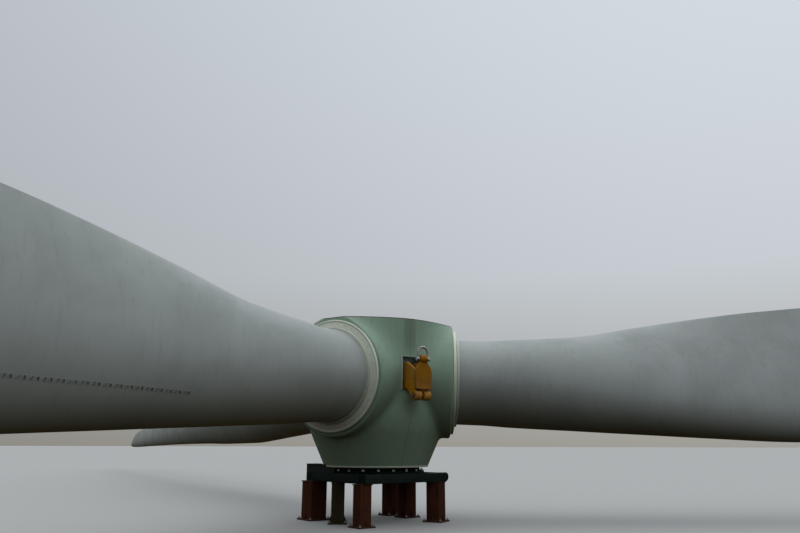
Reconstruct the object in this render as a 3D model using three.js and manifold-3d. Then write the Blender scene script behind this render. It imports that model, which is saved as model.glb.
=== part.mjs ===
// A three-bladed wind turbine rotor laid flat on its assembly stand, as a 1:2 scale model.
// Every length is a full-size length in metres times M, which gives the model's millimetres.
// The origin is the rotor centre: the rotor axis is Z, with the nacelle side up and the nose down,
// and the blades point along azimuth 0, 120 and 240 degrees. They are coned: their axes dip a little
// towards the nose. The blades rest feathered, edge down.
import * as THREE from "three";
import { mergeVertices } from "three/addons/utils/BufferGeometryUtils.js";
import Module from "manifold-3d";

const wasm = await Module();
wasm.setup();

const SCALE = 0.5;
const M = 1000 * SCALE;
// what touches keeps this gap, in model millimetres
const GAP = 0.3;
const TURN = 2 * Math.PI;
const BLADE_AZIMUTHS = [0, 120, 240];
// how far each blade axis dips, in degrees, and where the three axes meet the rotor axis
const BLADE_DIP = 2;
const BLADE_AXES_Z = 0.06 * M;

// spinner: a moulded shell whose round body and three blade bosses run softly into each other
const SPINNER_RADIUS = 1.55 * M;
const RIM_RADIUS = 1.53 * M;
const RIM_Z = 1.21 * M;
const TAPER_TOP_Z = -0.92 * M;
const NOSE_RADIUS = 1.14 * M;
const NOSE_Z = -1.84 * M;
const SHELL_WALL = 0.024 * M;
const SHELL_FLANGE = 0.08 * M;
const SHELL_FLANGE_THICK = 0.03 * M;
const RIM_OPENING_RADIUS = 1.45 * M;
const BOSS_RADIUS = 1.21 * M;
const BOSS_DROP = 0.035 * M;
const CREASE_Z = -0.6 * M;
const CREASE_BLEND = 0.08 * M;
const RIM_BLEND = 0.5 * M;
const PORT_RADIUS = 1.17 * M;
const PORT_FACE = 1.68 * M;
const PORT_SIDES = 32;
// rows of the shell's faces, in degrees away from the blade axis, closer at the port's edge
const SHELL_ROWS = [0, 20, 30, 36, 40, 45, 51, 58, 67, 78, 90, 105, 125, 150, 180];
const SHELL_REACH = 2.6 * M;
const LIP_DEPTH = 0.07 * M;
const LIP_WIDTH = 0.06 * M;

// blade root, its seal in the port and the collar that sheds rain
const ROOT_RADIUS = 0.94 * M;
const ROOT_SIDES = 32;
const SEAL_CLEARANCE = 0.025 * M;
const SEAL_THICK = 0.025 * M;
const SEAL_OFFSET = 0.02 * M;
const COLLAR_START = 1.775 * M;
const COLLAR_DEPTH = 0.07 * M;
const COLLAR_RADIUS = 1.01 * M;

// hub casting: a ball with three blade flanges, a main flange on top and a nose flange below
const HUB_BALL_RADIUS = 1.16 * M;
const HUB_NECK_RADIUS = 0.72 * M;
const HUB_BORE_RADIUS = 0.5 * M;
const MAIN_FLANGE_RADIUS = 0.86 * M;
const MAIN_FLANGE_Z = 1.15 * M;
const MAIN_FLANGE_THICK = 0.12 * M;
const NOSE_FLANGE_RADIUS = 0.8 * M;
const NOSE_FLANGE_Z = -1.25 * M;
const NOSE_FLANGE_THICK = 0.1 * M;
const BLADE_FLANGE_FACE = 1.06 * M;
const BLADE_FLANGE_BACK = 0.9 * M;
const BLADE_FLANGE_RADIUS = 1.05 * M;
const BLADE_NECK_RADIUS = 0.9 * M;
const HUB_SIDES = 24;
const RING_SIDES = 32;
const PIN_SIDES = 16;

// pitch bearing: the outer ring is bolted to the hub, the inner ring carries the blade
const BEARING_OUTER_RADIUS = 1.05 * M;
const BEARING_SPLIT_RADIUS = 0.955 * M;
const BEARING_BORE_RADIUS = 0.8 * M;
const BEARING_OUTER_DEPTH = 0.11 * M;
const BEARING_INNER_DEPTH = 0.13 * M;
const BEARING_CLEARANCE = 0.012 * M;

// blade stations: distance from the rotor axis, chord, thickness ratio, chord ahead of the
// pitch axis and twist in degrees, with the round root turning into the aerofoil
const ROOT_TWIST = 360 / ROOT_SIDES;
const BLADE_STATIONS = [
  { r: 2.3, chord: 1.88, thick: 1, ahead: 0.5, twist: ROOT_TWIST },
  { r: 3, chord: 1.967, thick: 0.95, ahead: 0.492, twist: ROOT_TWIST },
  { r: 4.5, chord: 2.142, thick: 0.82, ahead: 0.464, twist: ROOT_TWIST },
  { r: 6, chord: 2.48, thick: 0.63, ahead: 0.411, twist: ROOT_TWIST },
  { r: 7.5, chord: 2.794, thick: 0.48, ahead: 0.375, twist: 11 },
  { r: 9, chord: 3.04, thick: 0.38, ahead: 0.35, twist: 10.4 },
  { r: 10.5, chord: 3.15, thick: 0.33, ahead: 0.325, twist: 9.4 },
  { r: 12.5, chord: 3.06, thick: 0.29, ahead: 0.315, twist: 8 },
  { r: 16, chord: 2.66, thick: 0.25, ahead: 0.31, twist: 5.8 },
  { r: 20, chord: 2.24, thick: 0.225, ahead: 0.31, twist: 3.9 },
  { r: 25, chord: 1.8, thick: 0.2, ahead: 0.31, twist: 2.2 },
  { r: 30, chord: 1.42, thick: 0.185, ahead: 0.31, twist: 1 },
  { r: 34, chord: 1.12, thick: 0.18, ahead: 0.31, twist: 0.4 },
  { r: 36.5, chord: 0.88, thick: 0.18, ahead: 0.31, twist: 0.1 },
  { r: 37.9, chord: 0.56, thick: 0.18, ahead: 0.36, twist: 0 },
  { r: 38.5, chord: 0.18, thick: 0.18, ahead: 0.6, twist: 0 },
];
const CAMBER = 0.028;
// half the trailing edge's thickness, as a share of the chord
const EDGE_HALF = 0.0025;
// sections up to this thickness ratio are true aerofoils
const AEROFOIL_THICK = 0.36;

// lifting gear in the hatch between the first and the third blade, in a frame whose X points out
const HATCH_AZIMUTH = 300;
const HATCH_START_X = 1.3 * M;
const HATCH_LEFT_Y = -0.2 * M;
const HATCH_RIGHT_Y = 0.4 * M;
const HATCH_TOP_Z = 0.4 * M;
const HATCH_BOTTOM_Z = -0.3 * M;
// the bracket stands beside the seam, towards the first blade
const BRACKET_SIDE = 0.04 * M;
const PAD_BACK = 0.8 * M;
const PAD_FACE = 1.19 * M;
const PAD_HALF_WIDTH = 0.24 * M;
const PAD_HALF_HEIGHT = 0.36 * M;
const FOOT_PLATE_THICK = 0.05 * M;
const FOOT_PLATE_HALF_WIDTH = 0.19 * M;
const FOOT_PLATE_TOP_Z = 0.33 * M;
const FOOT_PLATE_BOTTOM_Z = -0.29 * M;
const WEB_X = 1.5 * M;
const WEB_THICK = 0.04 * M;
const WEB_TOP_Z = 0;
const CHEEK_THICK = 0.05 * M;
const CHEEK_OUTSIDE = 0.17 * M;
const CHEEK_TOP_Z = 0.29 * M;
const CHEEK_BOTTOM_Z = -0.26 * M;
const CHEEK_SHOULDER_X = 1.62 * M;
const CHEEK_FRONT_X = 1.96 * M;
const CHEEK_FRONT_TOP_Z = 0.1 * M;
const CHEEK_HEEL_X = 1.63 * M;
const EAR_BACK_X = 1.84 * M;
const EAR_BOTTOM_Z = -0.47 * M;
const EAR_FRONT_Z = -0.37 * M;
const PIVOT_X = 1.93 * M;
const PIVOT_Z = -0.42 * M;
const PIVOT_RADIUS = 0.045 * M;
const PIVOT_BOSS_RADIUS = 0.1 * M;
const PIVOT_HEAD_RADIUS = 0.063 * M;
const PIVOT_HEAD_THICK = 0.03 * M;
const SLOT_HALF_WIDTH = 0.03 * M;
const TONGUE_RADIUS = 0.09 * M;
const SIDE_CLEARANCE = 0.01 * M;
const RUNNING_CLEARANCE = 0.6;
const ARM_THICK = 0.07 * M;
const ARM_BOTTOM_Z = -0.3 * M;
const ARM_HALF_WIDTH = 0.18 * M;
const ARM_BELLY_HALF_WIDTH = 0.195 * M;
const ARM_SHOULDER_HALF_WIDTH = 0.17 * M;
const ARM_SHOULDER_Z = 0.12 * M;
const ARM_LAP = 0.03 * M;
const ARM_NECK_HALF_WIDTH = 0.095 * M;
const ARM_NECK_Z = 0.24 * M;
const LUG_X = 1.995 * M;
const LUG_Z = 0.31 * M;
const LUG_RADIUS = 0.08 * M;
const LUG_HALF_WIDTH = 0.075 * M;
const SHACKLE_PIN_RADIUS = 0.028 * M;
const SHACKLE_PIN_END = 0.02 * M;
const SHACKLE_HEAD_RADIUS = 0.042 * M;
const SHACKLE_HEAD_THICK = 0.025 * M;
const SHACKLE_ROD_RADIUS = 0.025 * M;
const SHACKLE_ARC_STEPS = 12;
const ROD_SIDES = 8;
const SHACKLE_HALF_WIDTH = 0.11 * M;
const SHACKLE_STRAIGHT = 0.135 * M;
const SHACKLE_EYE_RADIUS = 0.046 * M;

// assembly stand: a square frame on square legs, with a drum that carries the hub
const STAND_TURN = 40.4;
const FRAME_HALF = 0.985 * M;
const BEAM_WIDTH = 0.24 * M;
const BEAM_TOP_Z = -1.97 * M;
const BEAM_BOTTOM_Z = -2.15 * M;
const CROSS_OFFSET = 0.45 * M;
const CROSS_WIDTH = 0.2 * M;
const DRUM_RADIUS = 0.62 * M;
const DRUM_WALL = 0.03 * M;
const DRUM_TOP_FLANGE_RADIUS = 0.78 * M;
const DRUM_BASE_RADIUS = 1.06 * M;
const DRUM_FLANGE_THICK = 0.05 * M;
const BOX_TOP_Z = -1.79 * M;
const BOX_LENGTH = 1.1 * M;
const BOX_CLEARANCE = 0.05 * M;
const FOOT_Z = -2.97 * M;
// a foot plate stands out past its leg by this much
const FOOT_MARGIN = 0.06 * M;
const FOOT_THICK = 0.03 * M;
// each leg stands under the frame at its own azimuth and distance from the rotor axis, with the
// distance and the width in full-size metres
const LEGS = [
  { azimuth: 175.2, distance: 1.37, turn: 40.4, width: 0.41 },
  { azimuth: 221, distance: 1, turn: 5, width: 0.27 },
  { azimuth: 262, distance: 1.38, turn: 40.4, width: 0.28 },
  { azimuth: 352.7, distance: 1.32, turn: -27, width: 0.32 },
  { azimuth: 77, distance: 1.24, turn: 40.4, width: 0.3 },
  { azimuth: 46.5, distance: 0.99, turn: 40.4, width: 0.3 },
];

// nose cone that ties the shell to the hub, and struts under the rim
const CONE_WALL = 0.02 * M;
const CONE_TOP_RADIUS = 0.84 * M;
const CONE_FOOT_RADIUS = 1.09 * M;
const STRUT_AZIMUTHS = [60, 180, 300];
const STRUT_END = 1.475 * M;
const STRUT_HALF_WIDTH = 0.06 * M;
const STRUT_DEPTH = 0.08 * M;

// looks
const gelcoat = new THREE.MeshStandardMaterial({ color: 0xc9ccca, roughness: 0.4, metalness: 0 });
const spinnerGreen = new THREE.MeshStandardMaterial({ color: 0xa9bba8, roughness: 0.45, metalness: 0 });
const cream = new THREE.MeshStandardMaterial({ color: 0xd8dccb, roughness: 0.6, metalness: 0 });
const hubPaint = new THREE.MeshStandardMaterial({ color: 0xb9bdba, roughness: 0.55, metalness: 0.2 });
const bearingSteel = new THREE.MeshStandardMaterial({ color: 0x6d7073, roughness: 0.4, metalness: 0.8 });
const liftingYellow = new THREE.MeshStandardMaterial({ color: 0xc98a12, roughness: 0.5, metalness: 0.2 });
const pinSteel = new THREE.MeshStandardMaterial({ color: 0x9a9a96, roughness: 0.4, metalness: 0.8 });
const standGreen = new THREE.MeshStandardMaterial({ color: 0x24342f, roughness: 0.6, metalness: 0.2 });
const legBrown = new THREE.MeshStandardMaterial({ color: 0x6b3a26, roughness: 0.8, metalness: 0.1 });

const rotor = new THREE.Group();
const dip = THREE.MathUtils.degToRad(BLADE_DIP);

// solids

// turns a closed geometry into a solid, after its shared corners are merged
function toSolid(geometry) {
  const flat = geometry.index ? geometry.toNonIndexed() : geometry.clone();
  flat.deleteAttribute("normal");
  flat.deleteAttribute("uv");
  const merged = mergeVertices(flat, 1e-3);
  const mesh = new wasm.Mesh({
    numProp: 3,
    vertProperties: new Float32Array(merged.attributes.position.array),
    triVerts: new Uint32Array(merged.index.array),
  });
  return new wasm.Manifold(mesh);
}

// gives a solid back as a geometry
function toGeometry(solid) {
  const mesh = solid.getMesh();
  const geometry = new THREE.BufferGeometry();
  geometry.setAttribute("position", new THREE.BufferAttribute(new Float32Array(mesh.vertProperties), 3));
  geometry.setIndex(new THREE.BufferAttribute(new Uint32Array(mesh.triVerts), 1));
  geometry.computeVertexNormals();
  return geometry;
}

function join(solids) {
  return solids.reduce((whole, solid) => whole.add(solid));
}

function cut(solid, tools) {
  return tools.reduce((rest, tool) => rest.subtract(tool), solid);
}

// a solid of revolution about Z; the profile is a list of [radius, z] that closes on itself
function turned(profile, sides) {
  const points = [...profile, profile[0]].map(([radius, z]) => new THREE.Vector2(radius, z));
  const geometry = new THREE.LatheGeometry(points, sides);
  // the lathe turns about Y, so Y becomes Z
  geometry.rotateX(Math.PI / 2);
  return toSolid(geometry);
}

// a cylinder about Z between two heights
function drum(radius, z0, z1, sides) {
  const geometry = new THREE.CylinderGeometry(radius, radius, z1 - z0, sides);
  geometry.rotateX(Math.PI / 2);
  geometry.translate(0, 0, (z0 + z1) / 2);
  return toSolid(geometry);
}

// a cylinder about X between two distances, with a flat edge line at the top and bottom
function shaft(radius, x0, x1, sides) {
  const geometry = new THREE.CylinderGeometry(radius, radius, x1 - x0, sides);
  geometry.rotateZ(-Math.PI / 2);
  geometry.translate((x0 + x1) / 2, 0, 0);
  return toSolid(geometry);
}

function ringAlongX(outer, inner, x0, x1, sides) {
  return shaft(outer, x0, x1, sides).subtract(shaft(inner, x0 - M, x1 + M, sides));
}

function block(x0, x1, y0, y1, z0, z1) {
  const geometry = new THREE.BoxGeometry(x1 - x0, y1 - y0, z1 - z0);
  geometry.translate((x0 + x1) / 2, (y0 + y1) / 2, (z0 + z1) / 2);
  return toSolid(geometry);
}

// a plate with the given outline of [radial, z] points, standing across Y between y0 and y1
function uprightPlate(outline, y0, y1) {
  const shape = new THREE.Shape(outline.map(([x, z]) => new THREE.Vector2(x, z)));
  const geometry = new THREE.ExtrudeGeometry(shape, { depth: y1 - y0, bevelEnabled: false });
  geometry.rotateX(Math.PI / 2);
  geometry.translate(0, y1, 0);
  return toSolid(geometry);
}

function turnedTo(solid, azimuth) {
  return solid.rotate([0, 0, azimuth]);
}

// a solid made along X, moved onto the dipping axis of the first blade
function dipped(solid) {
  return solid.rotate([0, BLADE_DIP, 0]).translate([0, 0, BLADE_AXES_Z]);
}

function addMesh(name, geometry, material, azimuth = 0) {
  const mesh = new THREE.Mesh(geometry, material);
  mesh.name = name;
  mesh.rotation.z = THREE.MathUtils.degToRad(azimuth);
  rotor.add(mesh);
}

// adds a piece made along X on the dipping axis of a blade
function addOnBlade(name, geometry, material, azimuth) {
  const mesh = new THREE.Mesh(geometry, material);
  mesh.name = name;
  mesh.rotation.set(0, dip, THREE.MathUtils.degToRad(azimuth), "ZYX");
  mesh.position.z = BLADE_AXES_Z;
  rotor.add(mesh);
}

// spinner

const taperNormal = new THREE.Vector2(TAPER_TOP_Z - NOSE_Z, NOSE_RADIUS - SPINNER_RADIUS).normalize();

// below zero inside the spinner and above it outside, for a point in a blade's own third: the
// boss meets the shell in a crease below and runs into it ever more softly towards the rim
function spinnerField(x, y, z) {
  const radius = Math.hypot(x, y);
  const sideRadius = THREE.MathUtils.lerp(SPINNER_RADIUS, RIM_RADIUS, Math.max(z, 0) / RIM_Z);
  const taper = (radius - SPINNER_RADIUS) * taperNormal.x + (z - TAPER_TOP_Z) * taperNormal.y;
  const body = Math.max(radius - sideRadius, taper);
  const along = x * Math.cos(dip) - (z - BLADE_AXES_Z) * Math.sin(dip);
  const up = x * Math.sin(dip) + (z - BLADE_AXES_Z) * Math.cos(dip);
  const boss = Math.hypot(Math.min(along, 0), y, up + BOSS_DROP) - BOSS_RADIUS;
  const height = THREE.MathUtils.clamp((z - CREASE_Z) / (RIM_Z - CREASE_Z), 0, 1);
  const blend = THREE.MathUtils.lerp(CREASE_BLEND, RIM_BLEND, height * height);
  const near = Math.max(1 - Math.abs(body - boss) / blend, 0);
  return Math.min(body, boss) - (near * near * blend) / 4;
}

// where a ray from the meeting point of the blade axes leaves the surface, found by halving
function surfacePoint(direction, inset) {
  const start = new THREE.Vector3(0, 0, BLADE_AXES_Z);
  let inside = 0;
  let outside = SHELL_REACH;
  for (let step = 0; step < 30; step += 1) {
    const middle = (inside + outside) / 2;
    const point = start.clone().addScaledVector(direction, middle);
    if (spinnerField(point.x, point.y, point.z) < -inset) {
      inside = middle;
    } else {
      outside = middle;
    }
  }
  return start.addScaledVector(direction, inside);
}

// the whole spinner as one solid in a blade's frame, its surface moved inwards by the inset and
// its flat ends at the port, the rim and the nose moved inwards by the end inset
function spinnerBody(inset, endInset) {
  const profile = SHELL_ROWS.map((degrees) => {
    const angle = THREE.MathUtils.degToRad(degrees);
    return new THREE.Vector2(Math.sin(angle), -Math.cos(angle));
  });
  const geometry = new THREE.LatheGeometry(profile, PORT_SIDES);
  // the lathe's axis turns onto the blade axis
  geometry.rotateZ(Math.PI / 2);
  geometry.rotateY(dip);
  const position = geometry.attributes.position;
  const direction = new THREE.Vector3();
  for (let i = 0; i < position.count; i += 1) {
    direction.fromBufferAttribute(position, i).normalize();
    const point = surfacePoint(direction, inset);
    position.setXYZ(i, point.x, point.y, point.z);
  }
  const far = 2 * SHELL_REACH;
  const heights = block(-far, far, -far, far, NOSE_Z + endInset, RIM_Z - endInset);
  const port = block(-far, PORT_FACE - endInset, -far, far, -far, far);
  return toSolid(geometry).intersect(heights).intersect(dipped(port));
}

// one third of the shell, with inward flanges at the port, the rim and the nose
function spinnerThird() {
  const thick = SHELL_FLANGE_THICK;
  const openings = [
    spinnerBody(SHELL_WALL, thick),
    dipped(shaft(PORT_RADIUS - LIP_WIDTH, PORT_FACE - 2 * thick, PORT_FACE + M, PORT_SIDES)),
    drum(RIM_OPENING_RADIUS, RIM_Z - 2 * thick, RIM_Z + M, 2 * RING_SIDES),
    drum(NOSE_RADIUS - SHELL_FLANGE, NOSE_Z - M, NOSE_Z + 2 * thick, RING_SIDES),
  ];
  return cut(spinnerBody(0, 0), openings).intersect(sector());
}

// the room between two seams, a third of a turn wide, less the gap at each seam
function sector() {
  const halfAngle = Math.PI / 3;
  const apex = GAP / 2 / Math.sin(halfAngle);
  const reach = 4 * M;
  const shape = new THREE.Shape([
    new THREE.Vector2(apex, 0),
    new THREE.Vector2(apex + reach * Math.cos(halfAngle), -reach * Math.sin(halfAngle)),
    new THREE.Vector2(2 * reach, 0),
    new THREE.Vector2(apex + reach * Math.cos(halfAngle), reach * Math.sin(halfAngle)),
  ]);
  const geometry = new THREE.ExtrudeGeometry(shape, { depth: 8 * M, bevelEnabled: false });
  geometry.translate(0, 0, -4 * M);
  return toSolid(geometry);
}

const hatch = block(
  HATCH_START_X,
  HATCH_START_X + M,
  HATCH_LEFT_Y,
  HATCH_RIGHT_Y,
  HATCH_BOTTOM_Z,
  HATCH_TOP_Z,
);
const hatchTool = turnedTo(hatch, HATCH_AZIMUTH);
const third = spinnerThird();
BLADE_AZIMUTHS.forEach((azimuth, index) => {
  const segment = turnedTo(third, azimuth).subtract(hatchTool);
  addMesh(`spinner_segment_${index + 1}`, toGeometry(segment), spinnerGreen);
});

// port lips, seals and rain collars

const lipInside = PORT_RADIUS - LIP_WIDTH;
const lip = ringAlongX(PORT_RADIUS, lipInside, PORT_FACE + GAP, PORT_FACE + LIP_DEPTH, PORT_SIDES);
const sealStart = PORT_FACE + SEAL_OFFSET;
const seal = ringAlongX(
  lipInside - GAP,
  ROOT_RADIUS + SEAL_CLEARANCE,
  sealStart,
  sealStart + SEAL_THICK,
  PORT_SIDES,
);
const collar = ringAlongX(
  COLLAR_RADIUS,
  ROOT_RADIUS + GAP,
  COLLAR_START,
  COLLAR_START + COLLAR_DEPTH,
  ROOT_SIDES,
);

// hub casting

function hubBody() {
  const ballGeometry = new THREE.SphereGeometry(HUB_BALL_RADIUS, HUB_SIDES, HUB_SIDES / 2);
  const ball = toSolid(ballGeometry.rotateX(Math.PI / 2));
  const neck = drum(HUB_NECK_RADIUS, NOSE_FLANGE_Z, MAIN_FLANGE_Z, HUB_SIDES);
  const main = drum(MAIN_FLANGE_RADIUS, MAIN_FLANGE_Z - MAIN_FLANGE_THICK, MAIN_FLANGE_Z, HUB_SIDES);
  const nose = drum(NOSE_FLANGE_RADIUS, NOSE_FLANGE_Z, NOSE_FLANGE_Z + NOSE_FLANGE_THICK, HUB_SIDES);
  const bladeFlange = shaft(BLADE_FLANGE_RADIUS, BLADE_FLANGE_BACK, BLADE_FLANGE_FACE, HUB_SIDES)
    .add(shaft(BLADE_NECK_RADIUS, 0, BLADE_FLANGE_FACE, HUB_SIDES));
  const flanges = BLADE_AZIMUTHS.map((azimuth) => turnedTo(dipped(bladeFlange), azimuth));
  const pad = block(PAD_BACK, PAD_FACE, -PAD_HALF_WIDTH, PAD_HALF_WIDTH, -PAD_HALF_HEIGHT, PAD_HALF_HEIGHT)
    .translate([0, BRACKET_SIDE, 0]);
  const whole = join([ball, neck, main, nose, turnedTo(pad, HATCH_AZIMUTH), ...flanges]);
  // the ball is planed off flat at each flange
  const plane = dipped(block(BLADE_FLANGE_FACE, 3 * M, -2 * M, 2 * M, -2 * M, 2 * M));
  const above = block(-2 * M, 2 * M, -2 * M, 2 * M, MAIN_FLANGE_Z, 3 * M);
  const below = block(-2 * M, 2 * M, -2 * M, 2 * M, -3 * M, NOSE_FLANGE_Z);
  return cut(whole, [above, below, ...BLADE_AZIMUTHS.map((azimuth) => turnedTo(plane, azimuth))]);
}

const hubBore = drum(HUB_BORE_RADIUS, -3 * M, 3 * M, HUB_SIDES);
addMesh("hub_casting", toGeometry(hubBody().subtract(hubBore)), hubPaint);

// pitch bearings

const bearingStart = BLADE_FLANGE_FACE + GAP;
const bearingOuter = ringAlongX(
  BEARING_OUTER_RADIUS,
  BEARING_SPLIT_RADIUS,
  bearingStart,
  bearingStart + BEARING_OUTER_DEPTH,
  RING_SIDES,
);
const bearingInner = ringAlongX(
  BEARING_SPLIT_RADIUS - BEARING_CLEARANCE,
  BEARING_BORE_RADIUS,
  bearingStart,
  bearingStart + BEARING_INNER_DEPTH,
  RING_SIDES,
);

// blades

// one closed section of [along the chord from the pitch axis, across it], blended from a circle
// to a cambered aerofoil as the thickness ratio falls from 1 to about a third
function bladeSection({ chord, thick, ahead }) {
  const round = THREE.MathUtils.smoothstep(thick, AEROFOIL_THICK, 1);
  const points = [];
  for (let i = 0; i < ROOT_SIDES; i += 1) {
    const angle = (TURN * i) / ROOT_SIDES;
    // s runs from 0 at the leading edge to 1 at the trailing edge
    const s = (1 + Math.cos(angle)) / 2;
    const side = Math.sin(angle) >= 0 ? 1 : -1;
    const front = 0.2969 * Math.sqrt(s) - 0.126 * s - 0.3516 * s ** 2;
    const profile = 5 * thick * (front + 0.2843 * s ** 3 - 0.1036 * s ** 4);
    const circle = Math.sqrt(Math.max(0, s - s * s)) * thick;
    const half = THREE.MathUtils.lerp(profile + EDGE_HALF, circle, round);
    const camber = CAMBER * 4 * s * (1 - s) * (1 - round);
    points.push([(s - ahead) * chord * M, (camber + side * half) * chord * M]);
  }
  return points;
}

function bladeGeometry(rootStart) {
  const stations = [{ ...BLADE_STATIONS[0], r: rootStart / M }, ...BLADE_STATIONS];
  const positions = [];
  stations.forEach((station) => {
    const twist = THREE.MathUtils.degToRad(station.twist);
    bladeSection(station).forEach(([along, across]) => {
      // at rest the chord stands upright, with the suction side facing +Y
      positions.push(
        station.r * M,
        along * Math.sin(twist) + across * Math.cos(twist),
        along * Math.cos(twist) - across * Math.sin(twist),
      );
    });
  });
  const sides = ROOT_SIDES;
  const index = [];
  for (let k = 0; k < stations.length - 1; k += 1) {
    for (let i = 0; i < sides; i += 1) {
      const a = k * sides + i;
      const b = k * sides + ((i + 1) % sides);
      index.push(a, a + sides, b, b, a + sides, b + sides);
    }
  }
  const last = (stations.length - 1) * sides;
  for (let i = 1; i < sides - 1; i += 1) {
    index.push(0, i, i + 1, last, last + i + 1, last + i);
  }
  const geometry = new THREE.BufferGeometry();
  geometry.setAttribute("position", new THREE.Float32BufferAttribute(positions, 3));
  geometry.setIndex(index);
  geometry.computeVertexNormals();
  return geometry;
}

const blade = bladeGeometry(bearingStart + BEARING_INNER_DEPTH + GAP);

BLADE_AZIMUTHS.forEach((azimuth, index) => {
  const number = index + 1;
  addOnBlade(`port_lip_${number}`, toGeometry(lip), cream, azimuth);
  addOnBlade(`root_seal_${number}`, toGeometry(seal), cream, azimuth);
  addOnBlade(`rain_collar_${number}`, toGeometry(collar), gelcoat, azimuth);
  addOnBlade(`pitch_bearing_outer_${number}`, toGeometry(bearingOuter), bearingSteel, azimuth);
  addOnBlade(`pitch_bearing_inner_${number}`, toGeometry(bearingInner), bearingSteel, azimuth);
  addOnBlade(`blade_${number}`, blade, gelcoat, azimuth);
});

// struts from the main flange to the rim, and the cone inside the nose

const strut = block(
  0,
  STRUT_END,
  -STRUT_HALF_WIDTH,
  STRUT_HALF_WIDTH,
  RIM_Z - SHELL_FLANGE_THICK - STRUT_DEPTH,
  RIM_Z - SHELL_FLANGE_THICK - GAP,
).subtract(drum(MAIN_FLANGE_RADIUS + GAP, 0, 2 * RIM_Z, HUB_SIDES));
STRUT_AZIMUTHS.forEach((azimuth, index) => {
  addMesh(`rim_strut_${index + 1}`, toGeometry(strut), pinSteel, azimuth);
});

const coneTop = NOSE_FLANGE_Z + NOSE_FLANGE_THICK;
const coneFoot = NOSE_Z + SHELL_FLANGE_THICK + GAP;
const coneBend = NOSE_RADIUS - SHELL_FLANGE;
const noseCone = turned([
  [NOSE_FLANGE_RADIUS + GAP, coneTop],
  [NOSE_FLANGE_RADIUS + GAP, NOSE_FLANGE_Z],
  [CONE_TOP_RADIUS, NOSE_FLANGE_Z],
  [coneBend - CONE_WALL, coneFoot + CONE_WALL],
  [coneBend, coneFoot],
  [CONE_FOOT_RADIUS, coneFoot],
  [CONE_FOOT_RADIUS, coneFoot + CONE_WALL],
  [coneBend, coneFoot + 2 * CONE_WALL],
  [CONE_TOP_RADIUS + CONE_WALL, coneTop],
], HUB_SIDES);
addMesh("nose_support_cone", toGeometry(noseCone), pinSteel);

// lifting bracket, arm and shackle, in the hatch's frame

// a cylinder along Y at the given place
function tangentPin(radius, x, z, y0, y1, sides) {
  const geometry = new THREE.CylinderGeometry(radius, radius, y1 - y0, sides);
  geometry.translate(x, (y0 + y1) / 2, z);
  return toSolid(geometry);
}

// adds a piece of the lifting gear, made about Y = 0
function addLifting(name, solid, material) {
  addMesh(name, toGeometry(solid.translate([0, BRACKET_SIDE, 0])), material, HATCH_AZIMUTH);
}

// a cylinder along Y that reaches equally far to both sides
function pivotShaft(radius, reach) {
  return tangentPin(radius, PIVOT_X, PIVOT_Z, -reach, reach, PIN_SIDES);
}

function lugShaft(radius, reach) {
  return tangentPin(radius, LUG_X, LUG_Z, -reach, reach, PIN_SIDES);
}

const footPlateBack = PAD_FACE + GAP;
const footPlateEnd = footPlateBack + FOOT_PLATE_THICK;
const cheekInside = CHEEK_OUTSIDE - CHEEK_THICK;

// a side plate of the bracket, with a long ear boss round the pin that leaves a slot in the middle
function cheek(y0, y1, bossY0, bossY1) {
  // the cheek starts inside the foot plate, so that the two fuse
  const back = footPlateBack + FOOT_PLATE_THICK / 2;
  const outline = [
    [back, CHEEK_BOTTOM_Z],
    [CHEEK_HEEL_X, CHEEK_BOTTOM_Z],
    [EAR_BACK_X, EAR_BOTTOM_Z],
    [PIVOT_X, PIVOT_Z],
    [CHEEK_FRONT_X, EAR_FRONT_Z],
    [CHEEK_FRONT_X, CHEEK_FRONT_TOP_Z],
    [CHEEK_SHOULDER_X, CHEEK_TOP_Z],
    [back, CHEEK_TOP_Z],
  ];
  const boss = tangentPin(PIVOT_BOSS_RADIUS, PIVOT_X, PIVOT_Z, bossY0, bossY1, PIN_SIDES);
  return uprightPlate(outline, y0, y1).add(boss);
}

const footPlate = block(
  footPlateBack,
  footPlateEnd,
  -FOOT_PLATE_HALF_WIDTH,
  FOOT_PLATE_HALF_WIDTH,
  FOOT_PLATE_BOTTOM_Z,
  FOOT_PLATE_TOP_Z,
);
const bracket = join([
  footPlate,
  cheek(-CHEEK_OUTSIDE, -cheekInside, -CHEEK_OUTSIDE, -SLOT_HALF_WIDTH),
  cheek(cheekInside, CHEEK_OUTSIDE, SLOT_HALF_WIDTH, CHEEK_OUTSIDE),
  block(WEB_X, WEB_X + WEB_THICK, -CHEEK_OUTSIDE, CHEEK_OUTSIDE, CHEEK_BOTTOM_Z, WEB_TOP_Z),
]).subtract(pivotShaft(PIVOT_RADIUS + GAP, M));
addLifting("lifting_bracket", bracket, liftingYellow);

// a head at each end holds the pin in the cheeks
const pinEnd = CHEEK_OUTSIDE + PIVOT_HEAD_THICK;
const pinHeads = pivotShaft(PIVOT_HEAD_RADIUS, pinEnd).subtract(pivotShaft(M, CHEEK_OUTSIDE + GAP));
addLifting("pivot_pin", pivotShaft(PIVOT_RADIUS, pinEnd).add(pinHeads), pinSteel);

// the arm's plate stands across X: its outline is [y, z]
function frontPlate(outline, x0, x1) {
  const shape = new THREE.Shape(outline.map(([y, z]) => new THREE.Vector2(y, z)));
  const geometry = new THREE.ExtrudeGeometry(shape, { depth: x1 - x0, bevelEnabled: false });
  // the shape's X, Y and depth become Y, Z and X
  geometry.applyMatrix4(new THREE.Matrix4().set(0, 0, 1, x0, 1, 0, 0, 0, 0, 1, 0, 0, 0, 0, 0, 1));
  return toSolid(geometry);
}

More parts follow.
